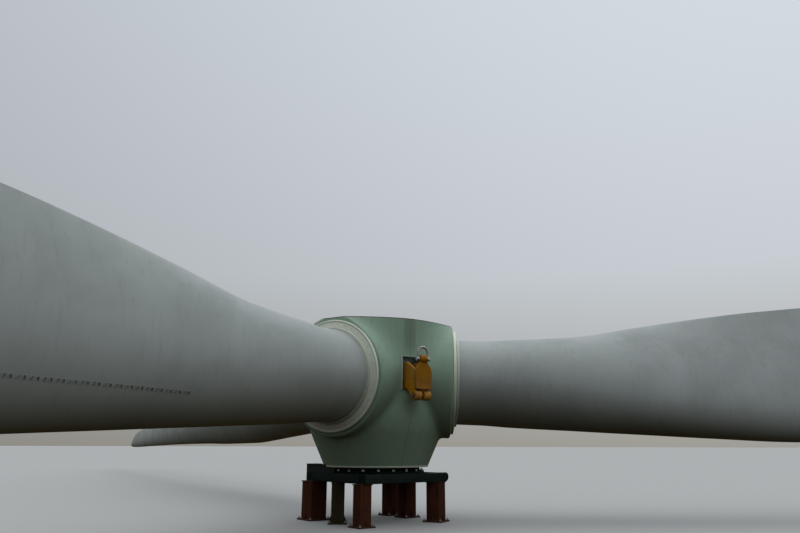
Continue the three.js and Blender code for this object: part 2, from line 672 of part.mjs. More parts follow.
const tongueHalf = SLOT_HALF_WIDTH - SIDE_CLEARANCE;
const armBack = CHEEK_FRONT_X + GAP;
const armFront = armBack + ARM_THICK;
const arm = join([
  frontPlate([
    [-ARM_HALF_WIDTH, ARM_BOTTOM_Z],
    [ARM_HALF_WIDTH, ARM_BOTTOM_Z],
    [ARM_BELLY_HALF_WIDTH, 0],
    [ARM_SHOULDER_HALF_WIDTH, ARM_SHOULDER_Z],
    [ARM_NECK_HALF_WIDTH, ARM_NECK_Z],
    [-ARM_NECK_HALF_WIDTH, ARM_NECK_Z],
    [-ARM_SHOULDER_HALF_WIDTH, ARM_SHOULDER_Z],
    [-ARM_BELLY_HALF_WIDTH, 0],
  ], armBack, armFront),
  block(armBack, armFront, -tongueHalf, tongueHalf, PIVOT_Z, ARM_BOTTOM_Z + ARM_LAP),
  pivotShaft(TONGUE_RADIUS, tongueHalf),
  block(armBack, armFront, -LUG_HALF_WIDTH, LUG_HALF_WIDTH, ARM_NECK_Z - ARM_LAP, LUG_Z),
  lugShaft(LUG_RADIUS, LUG_HALF_WIDTH),
]);
const armHoles = [
  pivotShaft(PIVOT_RADIUS + RUNNING_CLEARANCE, M),
  lugShaft(SHACKLE_PIN_RADIUS + RUNNING_CLEARANCE, M),
];
addLifting("lifting_arm", cut(arm, armHoles), liftingYellow);

function ringPoints(radius, sides) {
  return Array.from({ length: sides }, (_, i) => {
    const angle = (TURN * i) / sides;
    return new THREE.Vector2(radius * Math.cos(angle), radius * Math.sin(angle));
  });
}

// a round bar bent into a U, open side down, with its ends at the pin
function shackleBow() {
  const path = new THREE.CurvePath();
  const half = SHACKLE_HALF_WIDTH;
  const topZ = LUG_Z + SHACKLE_STRAIGHT;
  const points = [new THREE.Vector3(LUG_X, -half, LUG_Z)];
  for (let i = 0; i <= SHACKLE_ARC_STEPS; i += 1) {
    const angle = Math.PI * (1 - i / SHACKLE_ARC_STEPS);
    points.push(new THREE.Vector3(LUG_X, half * Math.cos(angle), topZ + half * Math.sin(angle)));
  }
  points.push(new THREE.Vector3(LUG_X, half, LUG_Z));
  for (let i = 0; i < points.length - 1; i += 1) {
    path.add(new THREE.LineCurve3(points[i], points[i + 1]));
  }
  const section = new THREE.Shape(ringPoints(SHACKLE_ROD_RADIUS, ROD_SIDES));
  const steps = SHACKLE_ARC_STEPS + 6;
  return toSolid(new THREE.ExtrudeGeometry(section, { extrudePath: path, steps }));
}

const eyeEnd = SHACKLE_HALF_WIDTH + SHACKLE_ROD_RADIUS;
const eyeStart = SHACKLE_HALF_WIDTH - SHACKLE_ROD_RADIUS;
const shackle = join([
  shackleBow(),
  tangentPin(SHACKLE_EYE_RADIUS, LUG_X, LUG_Z, -eyeEnd, -eyeStart, PIN_SIDES),
  tangentPin(SHACKLE_EYE_RADIUS, LUG_X, LUG_Z, eyeStart, eyeEnd, PIN_SIDES),
]).subtract(lugShaft(SHACKLE_PIN_RADIUS + GAP, M));
addLifting("shackle_bow", shackle, pinSteel);

const headStart = eyeEnd + GAP;
const headEnd = eyeEnd + SHACKLE_HEAD_THICK;
const pinHead = tangentPin(SHACKLE_HEAD_RADIUS, LUG_X, LUG_Z, headStart, headEnd, PIN_SIDES);
const shacklePin = lugShaft(SHACKLE_PIN_RADIUS, eyeEnd + SHACKLE_PIN_END).add(pinHead);
addLifting("shackle_pin", shacklePin, pinSteel);

// assembly stand

const drumTop = NOSE_FLANGE_Z - GAP;
const drumFoot = BEAM_TOP_Z + GAP;
const standDrum = turned([
  [DRUM_RADIUS - DRUM_WALL, drumFoot],
  [DRUM_BASE_RADIUS, drumFoot],
  [DRUM_BASE_RADIUS, drumFoot + DRUM_FLANGE_THICK],
  [DRUM_RADIUS, drumFoot + DRUM_FLANGE_THICK],
  [DRUM_RADIUS, drumTop - DRUM_FLANGE_THICK],
  [DRUM_TOP_FLANGE_RADIUS, drumTop - DRUM_FLANGE_THICK],
  [DRUM_TOP_FLANGE_RADIUS, drumTop],
  [DRUM_RADIUS - DRUM_WALL, drumTop],
], RING_SIDES);
addMesh("stand_drum", toGeometry(standDrum), standGreen);

const frameOut = FRAME_HALF + BEAM_WIDTH / 2;
const frameIn = FRAME_HALF - BEAM_WIDTH / 2;
const shortEnd = frameIn - GAP;
const beams = {
  stand_beam_1: block(-frameOut, frameOut, frameIn, frameOut, BEAM_BOTTOM_Z, BEAM_TOP_Z),
  stand_beam_2: block(-frameOut, frameOut, -frameOut, -frameIn, BEAM_BOTTOM_Z, BEAM_TOP_Z),
  stand_beam_3: block(frameIn, frameOut, -shortEnd, shortEnd, BEAM_BOTTOM_Z, BEAM_TOP_Z),
  stand_beam_4: block(-frameOut, -frameIn, -shortEnd, shortEnd, BEAM_BOTTOM_Z, BEAM_TOP_Z),
};
[-1, 1].forEach((side, index) => {
  const y0 = side * CROSS_OFFSET - CROSS_WIDTH / 2;
  const y1 = y0 + CROSS_WIDTH;
  beams[`cross_beam_${index + 1}`] = block(-shortEnd, shortEnd, y0, y1, BEAM_BOTTOM_Z, BEAM_TOP_Z);
});
beams.stand_box = block(-frameOut, -frameIn, frameOut - BOX_LENGTH, frameOut, BEAM_TOP_Z + GAP, BOX_TOP_Z)
  .subtract(drum(NOSE_RADIUS + BOX_CLEARANCE, -3 * M, 0, HUB_SIDES).rotate([0, 0, -STAND_TURN]));
Object.entries(beams).forEach(([name, solid]) => {
  addMesh(name, toGeometry(solid), standGreen, STAND_TURN);
});

LEGS.forEach(({ azimuth, distance, turn, width }, index) => {
  const half = (width * M) / 2;
  const footHalf = half + FOOT_MARGIN;
  const leg = join([
    block(-half, half, -half, half, FOOT_Z, BEAM_BOTTOM_Z - GAP),
    block(-footHalf, footHalf, -footHalf, footHalf, FOOT_Z, FOOT_Z + FOOT_THICK),
  ]);
  const mesh = new THREE.Mesh(toGeometry(leg), legBrown);
  const angle = THREE.MathUtils.degToRad(azimuth);
  mesh.name = `stand_leg_${index + 1}`;
  mesh.position.set(distance * M * Math.cos(angle), distance * M * Math.sin(angle), 0);
  mesh.rotation.z = THREE.MathUtils.degToRad(turn);
  rotor.add(mesh);
});

export default rotor;
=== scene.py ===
"""Looks of a wind turbine rotor on its assembly stand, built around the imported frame.

Lengths are full-size metres, and SCALE turns them into the 1:2 model's metres. Only the patterns of
the materials, the cleaning of the meshes and the stage use the model's own metres. The rotor axis is
Z with the nacelle side up, and the blades point along azimuth 0, 120 and 240.
"""

import math

import bmesh
import bpy
import numpy as np
from mathutils import Matrix, Vector


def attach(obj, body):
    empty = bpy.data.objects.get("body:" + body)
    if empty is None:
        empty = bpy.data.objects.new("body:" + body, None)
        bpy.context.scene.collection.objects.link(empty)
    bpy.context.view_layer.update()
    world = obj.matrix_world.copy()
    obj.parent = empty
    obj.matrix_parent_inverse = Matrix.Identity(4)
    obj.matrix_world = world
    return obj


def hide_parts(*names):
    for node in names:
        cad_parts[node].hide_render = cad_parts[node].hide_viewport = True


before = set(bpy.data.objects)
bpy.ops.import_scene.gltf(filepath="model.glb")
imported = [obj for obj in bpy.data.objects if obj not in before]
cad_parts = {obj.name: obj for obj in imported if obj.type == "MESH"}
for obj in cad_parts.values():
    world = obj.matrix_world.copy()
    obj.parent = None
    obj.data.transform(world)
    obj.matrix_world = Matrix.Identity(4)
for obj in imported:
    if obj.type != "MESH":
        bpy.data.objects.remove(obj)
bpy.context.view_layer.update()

SCALE = 0.5
HUB_BODY = "hub_and_stand"
ARM_BODY = "arm_body"
SHACKLE_BODY = "shackle_body"
BLADE_BODIES = ("blade_body_1", "blade_body_2", "blade_body_3")
BLADE_AZIMUTHS = (0, 120, 240)
SEAM_AZIMUTHS = (60, 180, 300)
BLADE_DIP = 2
BLADE_AXES_Z = 0.06
HATCH_AZIMUTH = 300
STAND_TURN = 40.4
TOUCH = 0.0006
MERGE_DISTANCE = 1e-6
TINY_EDGE = 1e-7

# spinner
SPINNER_RADIUS = 1.55
RIM_RADIUS = 1.53
RIM_Z = 1.21
TAPER_TOP_Z = -0.92
NOSE_RADIUS = 1.14
NOSE_Z = -1.84
SHELL_WALL = 0.024
FLANGE_THICK = 0.03
RIM_OPENING_RADIUS = 1.45
NOSE_OPENING_RADIUS = 1.06
BOSS_RADIUS = 1.21
BOSS_DROP = 0.035
CREASE_Z = -0.6
CREASE_BLEND = 0.08
RIM_BLEND = 0.5
TAPER_BLEND = 0.12
SHELL_REACH = 2.6
PORT_FACE = 1.68
PORT_HOLE_RADIUS = 1.11
PORT_EDGE_ROUND = 0.04
SEAM_HALF_GAP = 0.003
SEAM_PLATE_THICK = 0.014
SEAM_PLATE_REACH = 0.075
LIP_START = 1.688
LIP_END = 1.75
LIP_RADIUS = 1.157
ROOT_RADIUS = 0.94
SEAL_INNER_RADIUS = 0.965
SEAL_MIDDLE_RADIUS = 1.03
SEAL_SCREW_CIRCLE = 1.062
COLLAR_START = 1.768
COLLAR_END = 1.815
COLLAR_RADIUS = 0.99
PORT_SIDES = 160

# hub casting and pitch bearings
HUB_BALL_RADIUS = 1.15
HUB_NECK_RADIUS = 0.72
HUB_BORE_RADIUS = 0.5
HUB_VOXEL = 0.032
MAIN_FLANGE_RADIUS = 0.86
MAIN_FLANGE_Z = 1.15
MAIN_FLANGE_THICK = 0.12
MAIN_BOLT_CIRCLE = 0.78
NOSE_FLANGE_RADIUS = 0.8
NOSE_FLANGE_Z = -1.25
NOSE_FLANGE_THICK = 0.1
NOSE_BOLT_CIRCLE = 0.72
BLADE_FLANGE_FACE = 1.06
BLADE_FLANGE_BACK = 0.9
BLADE_FLANGE_RADIUS = 1.05
BLADE_NECK_RADIUS = 0.9
BEARING_START = BLADE_FLANGE_FACE + TOUCH
BEARING_SPLIT_RADIUS = 0.955
BEARING_BORE_RADIUS = 0.8
BEARING_BOLT_CIRCLE = 1.005
BEARING_OUTER_DEPTH = 0.11
BEARING_INNER_DEPTH = 0.13
BEARING_CLEARANCE = 0.012
STRUT_END = 1.475
STRUT_HEIGHT = 0.08
STRUT_HALF_WIDTH = 0.06
STRUT_WALL = 0.012
CONE_BOLT_CIRCLE = 1.076

# lifting gear, in a frame whose X points out through the hatch
HATCH_LEFT_Y = -0.2
HATCH_RIGHT_Y = 0.4
HATCH_TOP_Z = 0.4
HATCH_BOTTOM_Z = -0.3
HATCH_CUT_START = 1.3
HATCH_CUT_END = 2.1
BRACKET_SIDE = 0.04
PAD_FACE = 1.19
PAD_HALF_WIDTH = 0.24
PAD_HALF_HEIGHT = 0.36
FOOT_PLATE_THICK = 0.05
FOOT_PLATE_HALF_WIDTH = 0.19
FOOT_PLATE_TOP_Z = 0.33
FOOT_PLATE_BOTTOM_Z = -0.29
WEB_START = 1.5
WEB_END = 1.54
CHEEK_INSIDE = 0.12
CHEEK_OUTSIDE = 0.17
CHEEK_TOP_Z = 0.29
CHEEK_BOTTOM_Z = -0.26
CHEEK_SHOULDER_X = 1.62
CHEEK_HEEL_X = 1.63
CHEEK_FRONT_X = 1.96
CHEEK_FRONT_TOP_Z = 0.1
EAR_BACK_X = 1.84
EAR_BOTTOM_Z = -0.47
EAR_FRONT_Z = -0.37
PIVOT_X = 1.93
PIVOT_Z = -0.42
PIVOT_RADIUS = 0.045
PIVOT_WASHER_RADIUS = 0.063
PIVOT_BOSS_RADIUS = 0.1
SLOT_HALF_WIDTH = 0.03
ARM_THICK = 0.07
ARM_BOTTOM_Z = -0.3
# half width and height up one side of the arm's plate
ARM_OUTLINE = [(0.168, -0.3), (0.18, -0.288), (0.191, -0.15), (0.195, 0), (0.189, 0.07), (0.17, 0.12),
               (0.135, 0.175), (0.095, 0.22), (0.083, 0.26), (0.075, 0.275)]
LUG_X = 1.995
LUG_Z = 0.31
LUG_RADIUS = 0.08
LUG_HALF_WIDTH = 0.075
SHACKLE_PIN_RADIUS = 0.028
SHACKLE_ROD_RADIUS = 0.025
SHACKLE_HALF_WIDTH = 0.11
SHACKLE_STRAIGHT = 0.135
SHACKLE_EYE_RADIUS = 0.046

# assembly stand
FRAME_HALF = 0.985
BEAM_WIDTH = 0.24
BEAM_TOP_Z = -1.97
BEAM_BOTTOM_Z = -2.15
FRAME_OUTSIDE = FRAME_HALF + BEAM_WIDTH / 2
FRAME_INSIDE = FRAME_HALF - BEAM_WIDTH / 2
CROSS_OFFSET = 0.45
CROSS_WIDTH = 0.2
DRUM_RADIUS = 0.62
DRUM_WALL = 0.03
DRUM_TOP_FLANGE_RADIUS = 0.78
DRUM_BASE_RADIUS = 1.06
DRUM_FLANGE_THICK = 0.05
DRUM_BOLT_CIRCLE = 1.015
DRUM_GUSSET_Z = -1.5
BASE_RING_INNER = 0.945
BASE_RING_OUTER = 0.96
BOX_TOP_Z = -1.79
BOX_LENGTH = 1.1
BOX_CLEARANCE = 0.05
BOX_LID_THICK = 0.02
FOOT_Z = -2.97
FOOT_MARGIN = 0.06
FOOT_THICK = 0.03
RIB_TOP_Z = -2.81
OLIVE_LEG = 2
# azimuth and distance from the rotor axis, turn, width
LEGS = [(175.2, 1.37, 40.4, 0.41), (221, 1, 5, 0.27), (262, 1.38, 40.4, 0.28), (352.7, 1.32, -27, 0.32),
        (77, 1.24, 40.4, 0.3), (46.5, 0.99, 40.4, 0.3)]

# blade stations: distance, chord, thickness ratio, chord ahead of the pitch axis, twist
ROOT_TWIST = 11.25
BLADE_STATIONS = [
    (2.3, 1.88, 1, 0.5, ROOT_TWIST),
    (3, 1.967, 0.95, 0.492, ROOT_TWIST),
    (4.5, 2.142, 0.82, 0.464, ROOT_TWIST),
    (6, 2.48, 0.63, 0.411, ROOT_TWIST),
    (7.5, 2.794, 0.48, 0.375, 11),
    (9, 3.04, 0.38, 0.35, 10.4),
    (10.5, 3.15, 0.33, 0.325, 9.4),
    (12.5, 3.06, 0.29, 0.315, 8),
    (16, 2.66, 0.25, 0.31, 5.8),
    (20, 2.24, 0.225, 0.31, 3.9),
    (25, 1.8, 0.2, 0.31, 2.2),
    (30, 1.42, 0.185, 0.31, 1),
    (34, 1.12, 0.18, 0.31, 0.4),
    (36.5, 0.88, 0.18, 0.31, 0.1),
    (37.9, 0.56, 0.18, 0.36, 0),
    (38.5, 0.14, 0.18, 0.6, 0),
]
SHOULDER_X = 12.5
TIP_START_X = 36.5
TIP_X = 38.5
CAMBER = 0.028
EDGE_HALF = 0.0025
AEROFOIL_THICK = 0.36
FIN_START = 6.09
FIN_END = 15
FIN_PITCH = 0.08
FIN_SHARE = 0.262
FIN_TURN = 17
FIN_THICK = 0.006
FIN_OUTLINE = [(-0.026, 0), (0.026, 0), (0.02, 0.01), (-0.022, 0.03), (-0.026, 0.03)]

# camera, at the photograph's place and angle, and the stage
CAMERA_POINT = (0.52, -15.51, -1.42)
CAMERA_YAW = 1.3
CAMERA_PITCH = 15
CAMERA_ROLL = 0.13
CAMERA_LENS = 30.24
SENSOR_WIDTH = 36
VIEW_DISTANCE = 10000
FLOOR_HALF = 4000
# place from straight down, 0, to straight up, 1, and the overcast sky's light there
SKY_STOPS = [(0, (0.02, 0.0145, 0.0062)), (0.485, (0.028, 0.021, 0.009)), (0.5, (0.28, 0.272, 0.243)),
             (0.62, (0.46, 0.49, 0.52)), (0.8, (0.55, 0.59, 0.64)), (1, (1.35, 1.38, 1.4))]


# parts: a part is a pair of points, an n by 3 array, and faces, lists of point numbers

def skin_part(loops, ends="joined"):
    """A skin over closed loops of points, one after another, with its ends joined, capped or open."""
    rows, columns = len(loops), len(loops[0])
    faces = []
    if ends == "capped":
        faces = [list(range(columns))[::-1], list(range((rows - 1) * columns, rows * columns))]
    for row in range(rows if ends == "joined" else rows - 1):
        a = row * columns
        b = (row + 1) % rows * columns
        for i in range(columns):
            j = (i + 1) % columns
            faces.append([a + i, a + j, b + j, b + i])
    return np.array(loops, float).reshape(-1, 3), faces


def prism_part(outline, z0, z1):
    """An outline of (x, y) points drawn up from z0 to z1."""
    return skin_part([[(x, y, z) for x, y in outline] for z in (z0, z1)], "capped")


def side_plate(outline, y0, y1):
    """An outline of (x, z) points as a plate from y0 to y1."""
    points, faces = prism_part(outline, y0, y1)
    return points[:, [0, 2, 1]], faces


def box_part(x0, x1, y0, y1, z0, z1):
    return prism_part([(x0, y0), (x1, y0), (x1, y1), (x0, y1)], z0, z1)


def turns(count):
    """Angles in even steps round a whole turn."""
    return np.arange(count) * 2 * math.pi / count


def arc(x, y, radius, start, end, steps):
    """Points on an arc in degrees."""
    angles = np.radians(np.linspace(start, end, steps + 1))
    return [(x + radius * math.cos(a), y + radius * math.sin(a)) for a in angles]


def rounded_outline(x0, x1, y0, y1, radius, steps=3):
    """Points round a rectangle whose corners are quarter circles."""
    left, right, low, high = x0 + radius, x1 - radius, y0 + radius, y1 - radius
    points = []
    for i, (x, y) in enumerate([(right, high), (left, high), (left, low), (right, low)]):
        points += arc(x, y, radius, 90 * i, 90 * i + 90, steps)
    return points


def lathe_part(profile, sides, ends="joined"):
    """A profile of (radius, z) turned about Z."""
    cos, sin = np.cos(turns(sides)), np.sin(turns(sides))
    return skin_part([np.stack([r * cos, r * sin, np.full(sides, z)], 1) for r, z in profile], ends)


def rounded_ring(inner, outer, z0, z1, radius, sides=128, steps=2):
    """A turned ring of rectangular section with rounded corners."""
    return lathe_part(rounded_outline(inner, outer, z0, z1, radius, steps), sides)


def cylinder_part(radius, z0, z1, sides, chamfer=0.0):
    inner = radius - chamfer
    profile = [(0, z0), (inner, z0), (radius, z0 + chamfer), (radius, z1 - chamfer), (inner, z1), (0, z1)]
    return lathe_part(profile, sides, "open")


def tube_part(path, radius, sides):
    """A round bar along a path of points, with flat ends."""
    path = [Vector(point) for point in path]
    normal = (path[1] - path[0]).orthogonal()
    loops = []
    for i, here in enumerate(path):
        along = (path[min(i + 1, len(path) - 1)] - path[max(i - 1, 0)]).normalized()
        normal = (normal - along * normal.dot(along)).normalized()
        side = along.cross(normal)
        loops.append([here + radius * (math.cos(a) * normal + math.sin(a) * side) for a in turns(sides)])
    return skin_part(loops, "capped")


def shifted(part, x=0.0, y=0.0, z=0.0):
    return part[0] + np.array([x, y, z]), part[1]


def turned(part, degrees, axis="Z"):
    matrix = np.array(Matrix.Rotation(math.radians(degrees), 3, axis))
    return part[0] @ matrix.T, part[1]


def hung(part, z):
    """The part upside down, with its z 0 at the given height."""
    return part[0] * np.array([1, 1, -1]) + np.array([0, 0, z]), part[1]


def dipped(part):
    """A part made along X, moved onto the dipping axis of the first blade."""
    return shifted(turned(part, BLADE_DIP, "Y"), z=BLADE_AXES_Z)


def along_x(part):
    """The part's Z becomes X, its X becomes Y and its Y becomes Z."""
    return part[0][:, [2, 0, 1]], part[1]


def along_y(part):
    """The part's Z becomes Y, its X becomes Z and its Y becomes X."""
    return part[0][:, [1, 2, 0]], part[1]


def at_port(part):
    """A part made about Z, laid along the dipping axis of the first blade."""
    return dipped(along_x(part))


def joined(parts):
    faces = []
    offset = 0
    for points, part_faces in parts:
        faces += [[i + offset for i in face] for face in part_faces]
        offset += len(points)
    return np.concatenate([points for points, _ in parts]), faces


def repeated(part, radius, count, start=0.0, z=0.0):
    """Copies of a part on a circle about Z, each turned with its place."""
    moved = shifted(part, radius, 0, z)
    return joined([turned(moved, start + 360 * i / count) for i in range(count)])


def bolt_part(size, stud):
    """A hexagon head on a washer, standing on z 0 and scaled by size, with the end of its stud."""
    head = lathe_part([(0, 0.16), (0.92, 0.16), (0.92, 0.66), (0.7728, 0.78), (0, 0.78)], 6, "open")
    points, faces = joined([cylinder_part(1.05, 0, 0.16, 20, 0.04), head])
    end = cylinder_part(0.5 * size, 0.78 * size, 0.78 * size + stud, 12, 0.06 * size)
    return joined([(points * size, faces), end])


def weld_part(start, end, radius):
    """A weld bead between two points, with small waves like the real runs."""
    start, end = Vector(start), Vector(end)
    steps = max(2, int((end - start).length / (radius * 1.6)))
    beads = [start.lerp(end, i / steps) for i in range(steps + 1)]
    points, faces = tube_part(beads, radius, 6)
    centres = np.array(beads)[:, None, :]
    wave = 1 + 0.18 * (-1.0) ** np.arange(steps + 1)[:, None, None]
    return (centres + (points.reshape(-1, 6, 3) - centres) * wave).reshape(-1, 3), faces


# pieces

def set_all(thing, settings):
    for key, value in settings.items():
        setattr(thing, key, value)


def link_object(name, data):
    made = bpy.data.objects.new(name, data)
    bpy.context.scene.collection.objects.link(made)
    return made


def modify(piece, kind, **settings):
    set_all(piece.modifiers.new(kind.lower(), kind), settings)


def carve(draft, tool):
    modify(draft, "BOOLEAN", object=tool, operation="DIFFERENCE", solver="EXACT")


def baked(draft):
    """The draft's mesh with its modifiers applied. The draft itself goes."""
    graph = bpy.context.evaluated_depsgraph_get()
    mesh = bpy.data.meshes.new_from_object(draft.evaluated_get(graph))
    bpy.data.objects.remove(draft)
    return mesh


def mesh_of(name, part):
    """A clean mesh of a part, in the model's metres."""
    mesh = bpy.data.meshes.new(name)
    mesh.from_pydata((part[0] * SCALE).tolist(), [], part[1])
    edit = bmesh.new()
    edit.from_mesh(mesh)
    bmesh.ops.remove_doubles(edit, verts=edit.verts, dist=MERGE_DISTANCE)
    bmesh.ops.dissolve_degenerate(edit, edges=edit.edges, dist=TINY_EDGE)
    bmesh.ops.recalc_face_normals(edit, faces=edit.faces)
    edit.to_mesh(mesh)
    edit.free()
    return mesh


def add_mesh(name, mesh, materials, node=None, body=HUB_BODY, slot=None, bevel=0.0, angle=35):
    """Makes a piece that rides on its body. The slot argument is not used."""
    mesh.name = name
    mesh.materials.clear()
    for material in materials:
        mesh.materials.append(material.made)
    mesh.shade_smooth()
    piece = link_object(name, mesh)
    if bevel:
        modify(piece, "BEVEL", width=bevel * SCALE, segments=2, limit_method="ANGLE",
               angle_limit=math.radians(angle), harden_normals=True)
    mesh.set_sharp_from_angle(angle=math.radians(angle))
    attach(piece, body)
    if node:
        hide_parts(node)


def add_piece(name, part, material, node=None, body=HUB_BODY, azimuth=0.0, **look):
    """Makes the piece of a part, turned to its azimuth."""
    add_mesh(name, mesh_of(name, turned(part, azimuth)), [material], node, body, **look)


def add_thirds(stem, part, material, node=None, bodies=(HUB_BODY,) * 3, azimuths=BLADE_AZIMUTHS, **look):
    """Three pieces of one part, numbered like the nodes that they replace."""
    for number, body, azimuth in zip((1, 2, 3), bodies, azimuths):
        add_piece(f"{stem}_{number}", part, material, node and f"{node}_{number}", body, azimuth, **look)


# materials

def scaled(colour, factor, lift=0.0):
    return tuple(c * factor + lift for c in colour)


class Nodes:
    """A node tree, with short calls that each add a node and give back its output."""

    def __init__(self, tree):
        self.tree = tree

    def add(self, kind, inputs, output=0, **settings):
        made = self.tree.nodes.new("ShaderNode" + kind)
        set_all(made, settings)
        for key, value in inputs.items():
            socket = made.inputs[key]
            if isinstance(value, bpy.types.NodeSocket):
                self.tree.links.new(value, socket)
            else:
                socket.default_value = (*value, 1) if socket.type == "RGBA" else value
        return made.outputs[output]

    def place(self, kind):
        return self.add("TexCoord", {}, kind)

    def axis(self, vector, name):
        return self.add("SeparateXYZ", {"Vector": vector}, name)

    def ramp(self, value, low, high, start=0.0, end=1.0, way="SMOOTHSTEP"):
        """Maps value from low..high to start..end."""
        inputs = {"Value": value, "From Min": low, "From Max": high, "To Min": start, "To Max": end}
        return self.add("MapRange", inputs, interpolation_type=way)

    def times(self, a, b):
        return self.add("Math", {0: a, 1: b}, operation="MULTIPLY")

    def plus(self, a, b):
        return self.add("Math", {0: a, 1: b}, operation="ADD")


class Material(Nodes):
    """A material in the making, with the name of its slot and its colour so far."""

    def __init__(self, name, slot, metallic=0.0, specular=0.5):
        self.made = bpy.data.materials.new(name)
        self.made.use_nodes = True
        super().__init__(self.made.node_tree)
        self.slot = slot
        self.shader = self.tree.nodes["Principled BSDF"]
        self.shader.inputs["Metallic"].default_value = metallic
        self.shader.inputs["Specular IOR Level"].default_value = specular
        self.point = self.place("Object")

    def noise(self, scale, detail, rough, distortion=0.0, stretch=None):
        point = self.add("Mapping", {"Vector": self.point, "Scale": stretch}) if stretch else self.point
        inputs = {"Vector": point, "Scale": scale, "Detail": detail, "Roughness": rough,
                  "Distortion": distortion}
        return self.add("TexNoise", inputs, "Fac")

    def mixed(self, factor, a, b):
        return self.add("Mix", {0: factor, 6: a, 7: b}, 2, data_type="RGBA", clamp_factor=True)

    def tones(self, factor, colour, dark, light, lift=0.0):
        """Starts the colour, from its dark tone where the factor is 0 to its light one where it is 1."""
        self.colour = self.mixed(factor, scaled(colour, dark), scaled(colour, light, lift))

    def cover(self, mask, colour):
        self.colour = self.mixed(mask, self.colour, colour)

    def facing(self, low, high, end=1.0):
        """Goes from 0 to end as the upward part of the normal at rest goes from low to high."""
        return self.ramp(self.axis(self.place("Normal"), "Z"), low, high, 0, end)

    def height(self, low, high, start=0.0, end=1.0):
        """A ramp between two full-size heights."""
        return self.ramp(self.axis(self.point, "Z"), low * SCALE, high * SCALE, start, end)

    def distance(self, operation, vector):
        return self.add("VectorMath", {0: self.point, 1: vector}, "Value", operation=operation)

    def finish(self, roughness, heights):
        """Feeds the shader, with a chain of bumps from (height, strength, distance)."""
        chain = {}
        for height, strength, distance in heights:
            inputs = {"Height": height, "Strength": strength, "Distance": distance, **chain}
            chain = {"Normal": self.add("Bump", inputs)}
        for name, output in {"Base Color": self.colour, "Roughness": roughness, **chain}.items():
            self.tree.links.new(output, self.shader.inputs[name])
        return self


def seam_shade(paint, azimuth):
    """Painted shade in the hollow over a seam, between two blade ports."""
    cos, sin = math.cos(math.radians(azimuth)), math.sin(math.radians(azimuth))
    across = paint.add("Math", {0: paint.distance("DOT_PRODUCT", (-sin, cos, 0))}, operation="ABSOLUTE")
    outside = paint.ramp(paint.distance("DOT_PRODUCT", (cos, sin, 0)), 0.3, 0.5, 0, 0.5)
    spread = paint.plus(across, paint.times(paint.noise(2, 4, 0.6, stretch=(14, 14, 1.5)), 0.05))
    band = paint.ramp(spread, 0.06, 0.13, 1, 0)
    return paint.times(paint.times(band, paint.height(0.34, 0.7)), outside)


def grease_stain(paint):
    """A smear on the shell under the lifting bracket's pivot."""
    spin = math.radians(HATCH_AZIMUTH)
    middle = Vector((1.56 * math.cos(spin), 1.56 * math.sin(spin), -0.62)) * SCALE
    away = paint.plus(paint.distance("DISTANCE", middle), paint.times(paint.noise(9, 5, 0.7, 0.6), 0.16))
    return paint.ramp(away, 0.1, 0.24, 0.55, 0)


def gelcoat(name, slot, colour, dirt_and_shade, streaks, roughness=(0.34, 0.5), specular=0.45, foot_shade_and_dirt=0.0):
    """Weathered gelcoat: cloudy chalking, rain streaks, faint mould waves and darker faces that look down."""
    paint = Material(name, slot, specular=specular)
    clouds = paint.noise(1.3, 4, 0.6, 0.3)
    paint.tones(paint.ramp(clouds, 0.32, 0.68), colour, 0.9, 1.07)
    masks = [paint.ramp(paint.noise(3, 5, 0.6, stretch=(9, 9, 0.5)), 0.5, 0.78, 0, streaks),
             paint.facing(0.25, -0.95, 0.4)]
    if foot_shade_and_dirt:
        # painted shade of the dark ground, with some dirt, darker towards the nose
        masks.append(paint.height(-0.35, NOSE_Z, 0, foot_shade_and_dirt))
        # painted shade in the hollows over the seams
        masks += [seam_shade(paint, azimuth) for azimuth in SEAM_AZIMUTHS]
        masks.append(grease_stain(paint))
    masks.append(paint.ramp(paint.noise(46, 2, 0.5), 0.7, 0.78, 0, 0.35))
    for mask in masks:
        paint.cover(mask, dirt_and_shade)
    return paint.finish(paint.ramp(clouds, 0.3, 0.7, roughness[1], roughness[0]),
                        [(paint.noise(2.2, 2, 0.4), 0.12, 0.02), (paint.noise(160, 2, 0.5), 0.05, 0.002)])


def painted_steel(name, slot, colour, rust, dust, wear, rust_amount, dust_amount, specular, roughness=0.55):
    """Site-worn paint: fading, chips on the edges, rust patches and runs, dust on what faces up."""
    paint = Material(name, slot, specular=specular)
    fade = paint.noise(5, 4, 0.6, 0.4)
    paint.tones(paint.ramp(fade, 0.3, 0.7), colour, 0.78, 1.18)
    grime = paint.noise(2, 5, 0.65, stretch=(14, 14, 1.2))
    paint.cover(paint.ramp(grime, 0.48, 0.74, 0, 0.55), scaled(colour, 0.35))
    rusted = paint.ramp(paint.noise(17, 6, 0.7, 0.6), 0.72 - 0.3 * rust_amount, 0.8 - 0.3 * rust_amount)
    paint.cover(paint.times(rusted, 0.85), rust)
    pointed = paint.add("NewGeometry", {}, "Pointiness")
    edge = paint.plus(pointed, paint.times(paint.noise(60, 3, 0.7), 0.08))
    paint.cover(paint.ramp(edge, 0.575, 0.62, 0, wear), scaled(rust, 0.5, 0.12))
    settled = paint.times(paint.facing(0.3, 0.95, dust_amount), paint.ramp(fade, 0.25, 0.65, 0.4, 1))
    paint.cover(settled, dust)
    rough = paint.ramp(fade, 0.3, 0.7, roughness - 0.1, roughness + 0.1)
    grain = paint.noise(240, 2, 0.6)
    return paint.finish(paint.plus(rough, paint.times(rusted, 0.25)),
                        [(rusted, 0.25, 0.001), (grain, 0.12, 0.001), (fade, 0.1, 0.006)])


